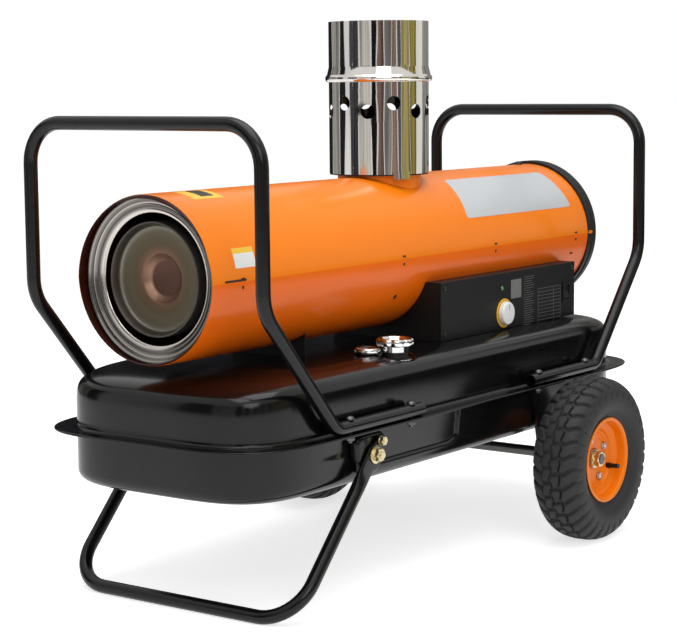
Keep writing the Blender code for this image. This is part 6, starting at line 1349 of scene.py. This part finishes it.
# %% [markdown]
# ## Cable gland
# The mains cord enters at the back end of the box through a screwed gland, so
# the gland has a hexagon at its foot and a ribbed dome nut.
# %% Gland
GLAND_PLACE = (BOX_X1 + 0.3 * MM, -0.090, 0.345)
GLAND = [(4.5, -8), (9, -8), (9, 0), (10.5, 0), (10.5, 4), (8.8, 4.4), (8.8, 11), (7.4, 14.6), (5.4, 16),
         (4.5, 16)]
parts = [turned(GLAND, "+X", GLAND_PLACE, 48, soft=0.5),
         stand(hexagonal(11.5, 0, 3.6, bore=9.2), "+X", GLAND_PLACE)]
piece("gland_nut", parts, BLACK_PLASTIC, replaces=["cable_gland"])
print("pieces:", len(made_pieces))

# %% [markdown]
# ## Solids that stay
# Plain sheet parts and what is inside the casing already have the right shape as
# solids. They only need their finish, put in the object's material slots.
# %% Finish the solids
KEPT = {
    "axle_bracket_near": BLACK, "axle_bracket_far": BLACK, "control_housing": PANEL_BLACK,
    "front_saddle": PANEL_BLACK, "drum_support": INNER_STEEL, "burner_plate": INNER_STEEL,
    "combustion_chamber": HEATED, "burner_head": CAST, "fan_motor": CAST, "motor_bracket": INNER_STEEL,
    "fuel_pump": CAST, "motor_shaft": BRIGHT_ZINC, "switch_frame": BLACK_PLASTIC,
    "switch_rocker": BLACK_PLASTIC, "control_board": BOARD, "gauge_needle": RED,
}
for name, material in KEPT.items():
    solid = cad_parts[name]
    if not solid.material_slots:
        solid.data.materials.append(material)
    for holder in solid.material_slots:
        holder.material = material
left_over = [name for name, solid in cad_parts.items() if not solid.hide_render and name not in KEPT]
print("solids kept:", len(KEPT), "without a finish:", left_over)

# %% [markdown]
# ## Floor and surroundings
# A product picture is taken on a white sweep. The floor is pale and shows pure
# white to the camera, less the soft shadow. Glossy metal mirrors whatever stands
# round it, so tall grey cards that only reflections see give the flue its
# upright bands.
# %% World and floor
scene = bpy.context.scene
scene.view_settings.view_transform = "Standard"
WHITE_SWEEP, SEEN_STRENGTH, LIT_STRENGTH = (1, 1, 1, 1), 1.0, 0.40
FLOOR_TONE, FLOOR_ROUGHNESS, FLOOR_SHINE, FLOOR_GLOW = (0.86, 0.86, 0.86, 1), 0.9, 0.1, 0.68
FLOOR_HALF = 40.0


def background_ray(tree):
    """1 for camera, glossy and transmission rays, the ones that show what stands behind."""
    rays = add_node(tree, "LightPath", {})
    either = add_math(tree, "MAXIMUM", rays["Is Camera Ray"], rays["Is Glossy Ray"])
    return add_math(tree, "MAXIMUM", either, rays["Is Transmission Ray"])


def studio_world():
    """A white world that lights the heater less than it shows."""
    made = bpy.data.worlds.new("studio")
    made.use_nodes = True
    tree = made.node_tree
    tree.nodes.clear()
    lit, seen = (add_node(tree, "Background", {"Color": WHITE_SWEEP, "Strength": strength})[0]
                 for strength in (LIT_STRENGTH, SEEN_STRENGTH))
    mixed = add_node(tree, "MixShader", {"Fac": background_ray(tree), 1: lit, 2: seen})[0]
    add_node(tree, "OutputWorld", {"Surface": mixed})
    return made


def floor_finish():
    """Diffuse pale floor that adds a little white to camera, glossy and clear rays."""
    made = bpy.data.materials.new("pale_floor")
    made.use_nodes = True
    tree = made.node_tree
    shader = tree.nodes["Principled BSDF"]
    feed(shader, {"Base Color": FLOOR_TONE, "Roughness": FLOOR_ROUGHNESS,
                  "Specular IOR Level": FLOOR_SHINE})
    strength = add_math(tree, "MULTIPLY", background_ray(tree), FLOOR_GLOW)
    glow = add_node(tree, "Emission", {"Strength": strength})[0]
    both = add_node(tree, "AddShader", {0: shader.outputs[0], 1: glow})[0]
    feed(tree.nodes["Material Output"], {"Surface": both})
    return made


def stage_sheet(name, corners, material):
    """One flat face of the set, which isn't a piece of the heater."""
    mesh = bpy.data.meshes.new(name)
    mesh.from_pydata(corners, [], [(0, 1, 2, 3)])
    mesh.materials.append(material)
    made = bpy.data.objects.new(name, mesh)
    scene.collection.objects.link(made)
    return made


scene.world = studio_world()
floor_corners = [(x * FLOOR_HALF, y * FLOOR_HALF, 0) for x, y in ((-1, -1), (1, -1), (1, 1), (-1, 1))]
stage_sheet("floor", floor_corners, floor_finish())
print("floor and world set")


# %% Reflection cards
CLOUD_STRETCH, CLOUD_SCALE = (1.5, 1.5, 0.5), 1.6
CLOUD_TONES = ((0.35, 0.45), (0.68, 1.45))


def cloudy_glow(name, tone):
    """An emission of a tone times 0.45 to 1.45, as soft noise goes from 0.35 to 0.68."""
    made = bpy.data.materials.new(name)
    made.use_nodes = True
    tree = made.node_tree
    tree.nodes.clear()
    stretched = add_vector(tree, "MULTIPLY", object_place(tree), CLOUD_STRETCH)["Vector"]
    cloud = add_noise(tree, stretched, CLOUD_SCALE, 2.0)
    tint = add_ramp(tree, cloud, [(level, [share * c for c in tone]) for level, share in CLOUD_TONES])
    add_node(tree, "OutputMaterial", {"Surface": add_node(tree, "Emission", {"Color": tint})[0]})
    return made


def card(name, azimuth, width, tone, low=0.01, high=2.4, distance=4.2):
    """An upright strip at an azimuth, width degrees wide, that only glossy rays see."""
    a = math.radians(azimuth)
    middle = np.array([math.cos(a), math.sin(a), 0]) * distance
    side = np.array([-math.sin(a), math.cos(a), 0]) * distance * math.tan(math.radians(width / 2))
    corners = np.array([middle + sign * side + [0, 0, z]
                        for sign, z in ((-1, low), (1, low), (1, high), (-1, high))])
    made = stage_sheet(name, corners, cloudy_glow(name, tone))
    made.visible_camera = made.visible_diffuse = False
    made.visible_shadow = made.visible_transmission = False


DARK, GREY, MID, PALE = (0.02, 0.021, 0.023), (0.13, 0.135, 0.14), (0.33, 0.325, 0.31), (0.60, 0.59, 0.56)
OLIVE, PINK, RUST = (0.40, 0.35, 0.14), (0.40, 0.27, 0.23), (0.17, 0.115, 0.095)
SLATE, BRASS = (0.055, 0.062, 0.072), (0.34, 0.29, 0.07)
CARDS = [(-59, 20, BRASS), (-81, 22, OLIVE), (-97, 8, GREY), (-109, 13, PINK), (-124, 15, MID),
         (-140, 13, RUST), (-155, 13, DARK), (-177, 26, PALE), (157, 22, SLATE), (121, 17, DARK),
         (97, 28, MID), (58, 46, DARK), (4, 62, MID)]
for number, (azimuth, width, tone) in enumerate(CARDS):
    card(f"card_{number}", azimuth, width, tone)
card("card_low", -37, 66, DARK, low=0.005, high=0.45, distance=1.75)
print("cards:", len(CARDS) + 1)


# %% [markdown]
# ## Lamps and camera
# One broad soft lamp overhead gives the casing its bright top and dark belly, a
# weaker one from the camera's side opens the black parts. The camera stands
# where the photograph was taken: that place, the lens and the small shift come
# from solving the picture's perspective.
# %% Lamps
def soft_lamp(name, place, size, power, target=(0, 0, 0.4)):
    """A square area lamp aimed at the heater."""
    data = bpy.data.lights.new(name, "AREA")
    data.shape, data.size, data.energy = "SQUARE", size, power
    lamp = bpy.data.objects.new(name, data)
    scene.collection.objects.link(lamp)
    lamp.location = place
    lamp.rotation_euler = (Vector(target) - Vector(place)).to_track_quat("-Z", "Y").to_euler()


LAMPS = [("overhead", (-0.4, -0.5, 3.0), 2.6, 62.0), ("camera_side", (-2.6, -2.9, 2.2), 2.0, 38.0)]
for name, place, size, power in LAMPS:
    soft_lamp(name, place, size, power)
print("lamps:", len(LAMPS))

# %% Camera
CAMERA_PLACE = (-2.3736, -1.6763, 0.7033)
CAMERA_AHEAD, CAMERA_RIGHT = Vector((0.7979, 0.5912, -0.1174)), Vector((0.5943, -0.8042, -0.0102))
PHOTO_WIDTH, FOCAL_PIXELS, SENSOR = 677, 1940.9, 36.0
SHIFT_X, SHIFT_Y, CLIP_NEAR, CLIP_FAR = 0.0245, -0.0155, 0.05, 200.0
camera_data = bpy.data.cameras.new("camera")
camera = bpy.data.objects.new("camera", camera_data)
scene.collection.objects.link(camera)
scene.camera = camera
ahead = CAMERA_AHEAD.normalized()
right = (CAMERA_RIGHT - ahead * CAMERA_RIGHT.dot(ahead)).normalized()
facing = Matrix((right, right.cross(ahead), -ahead)).transposed().to_4x4()
camera.matrix_world = Matrix.Translation(CAMERA_PLACE) @ facing
camera_data.sensor_width = SENSOR
camera_data.lens = FOCAL_PIXELS / PHOTO_WIDTH * SENSOR
camera_data.shift_x, camera_data.shift_y = SHIFT_X, SHIFT_Y
camera_data.clip_start, camera_data.clip_end = CLIP_NEAR, CLIP_FAR
print("lens:", round(camera_data.lens, 1), "mm")
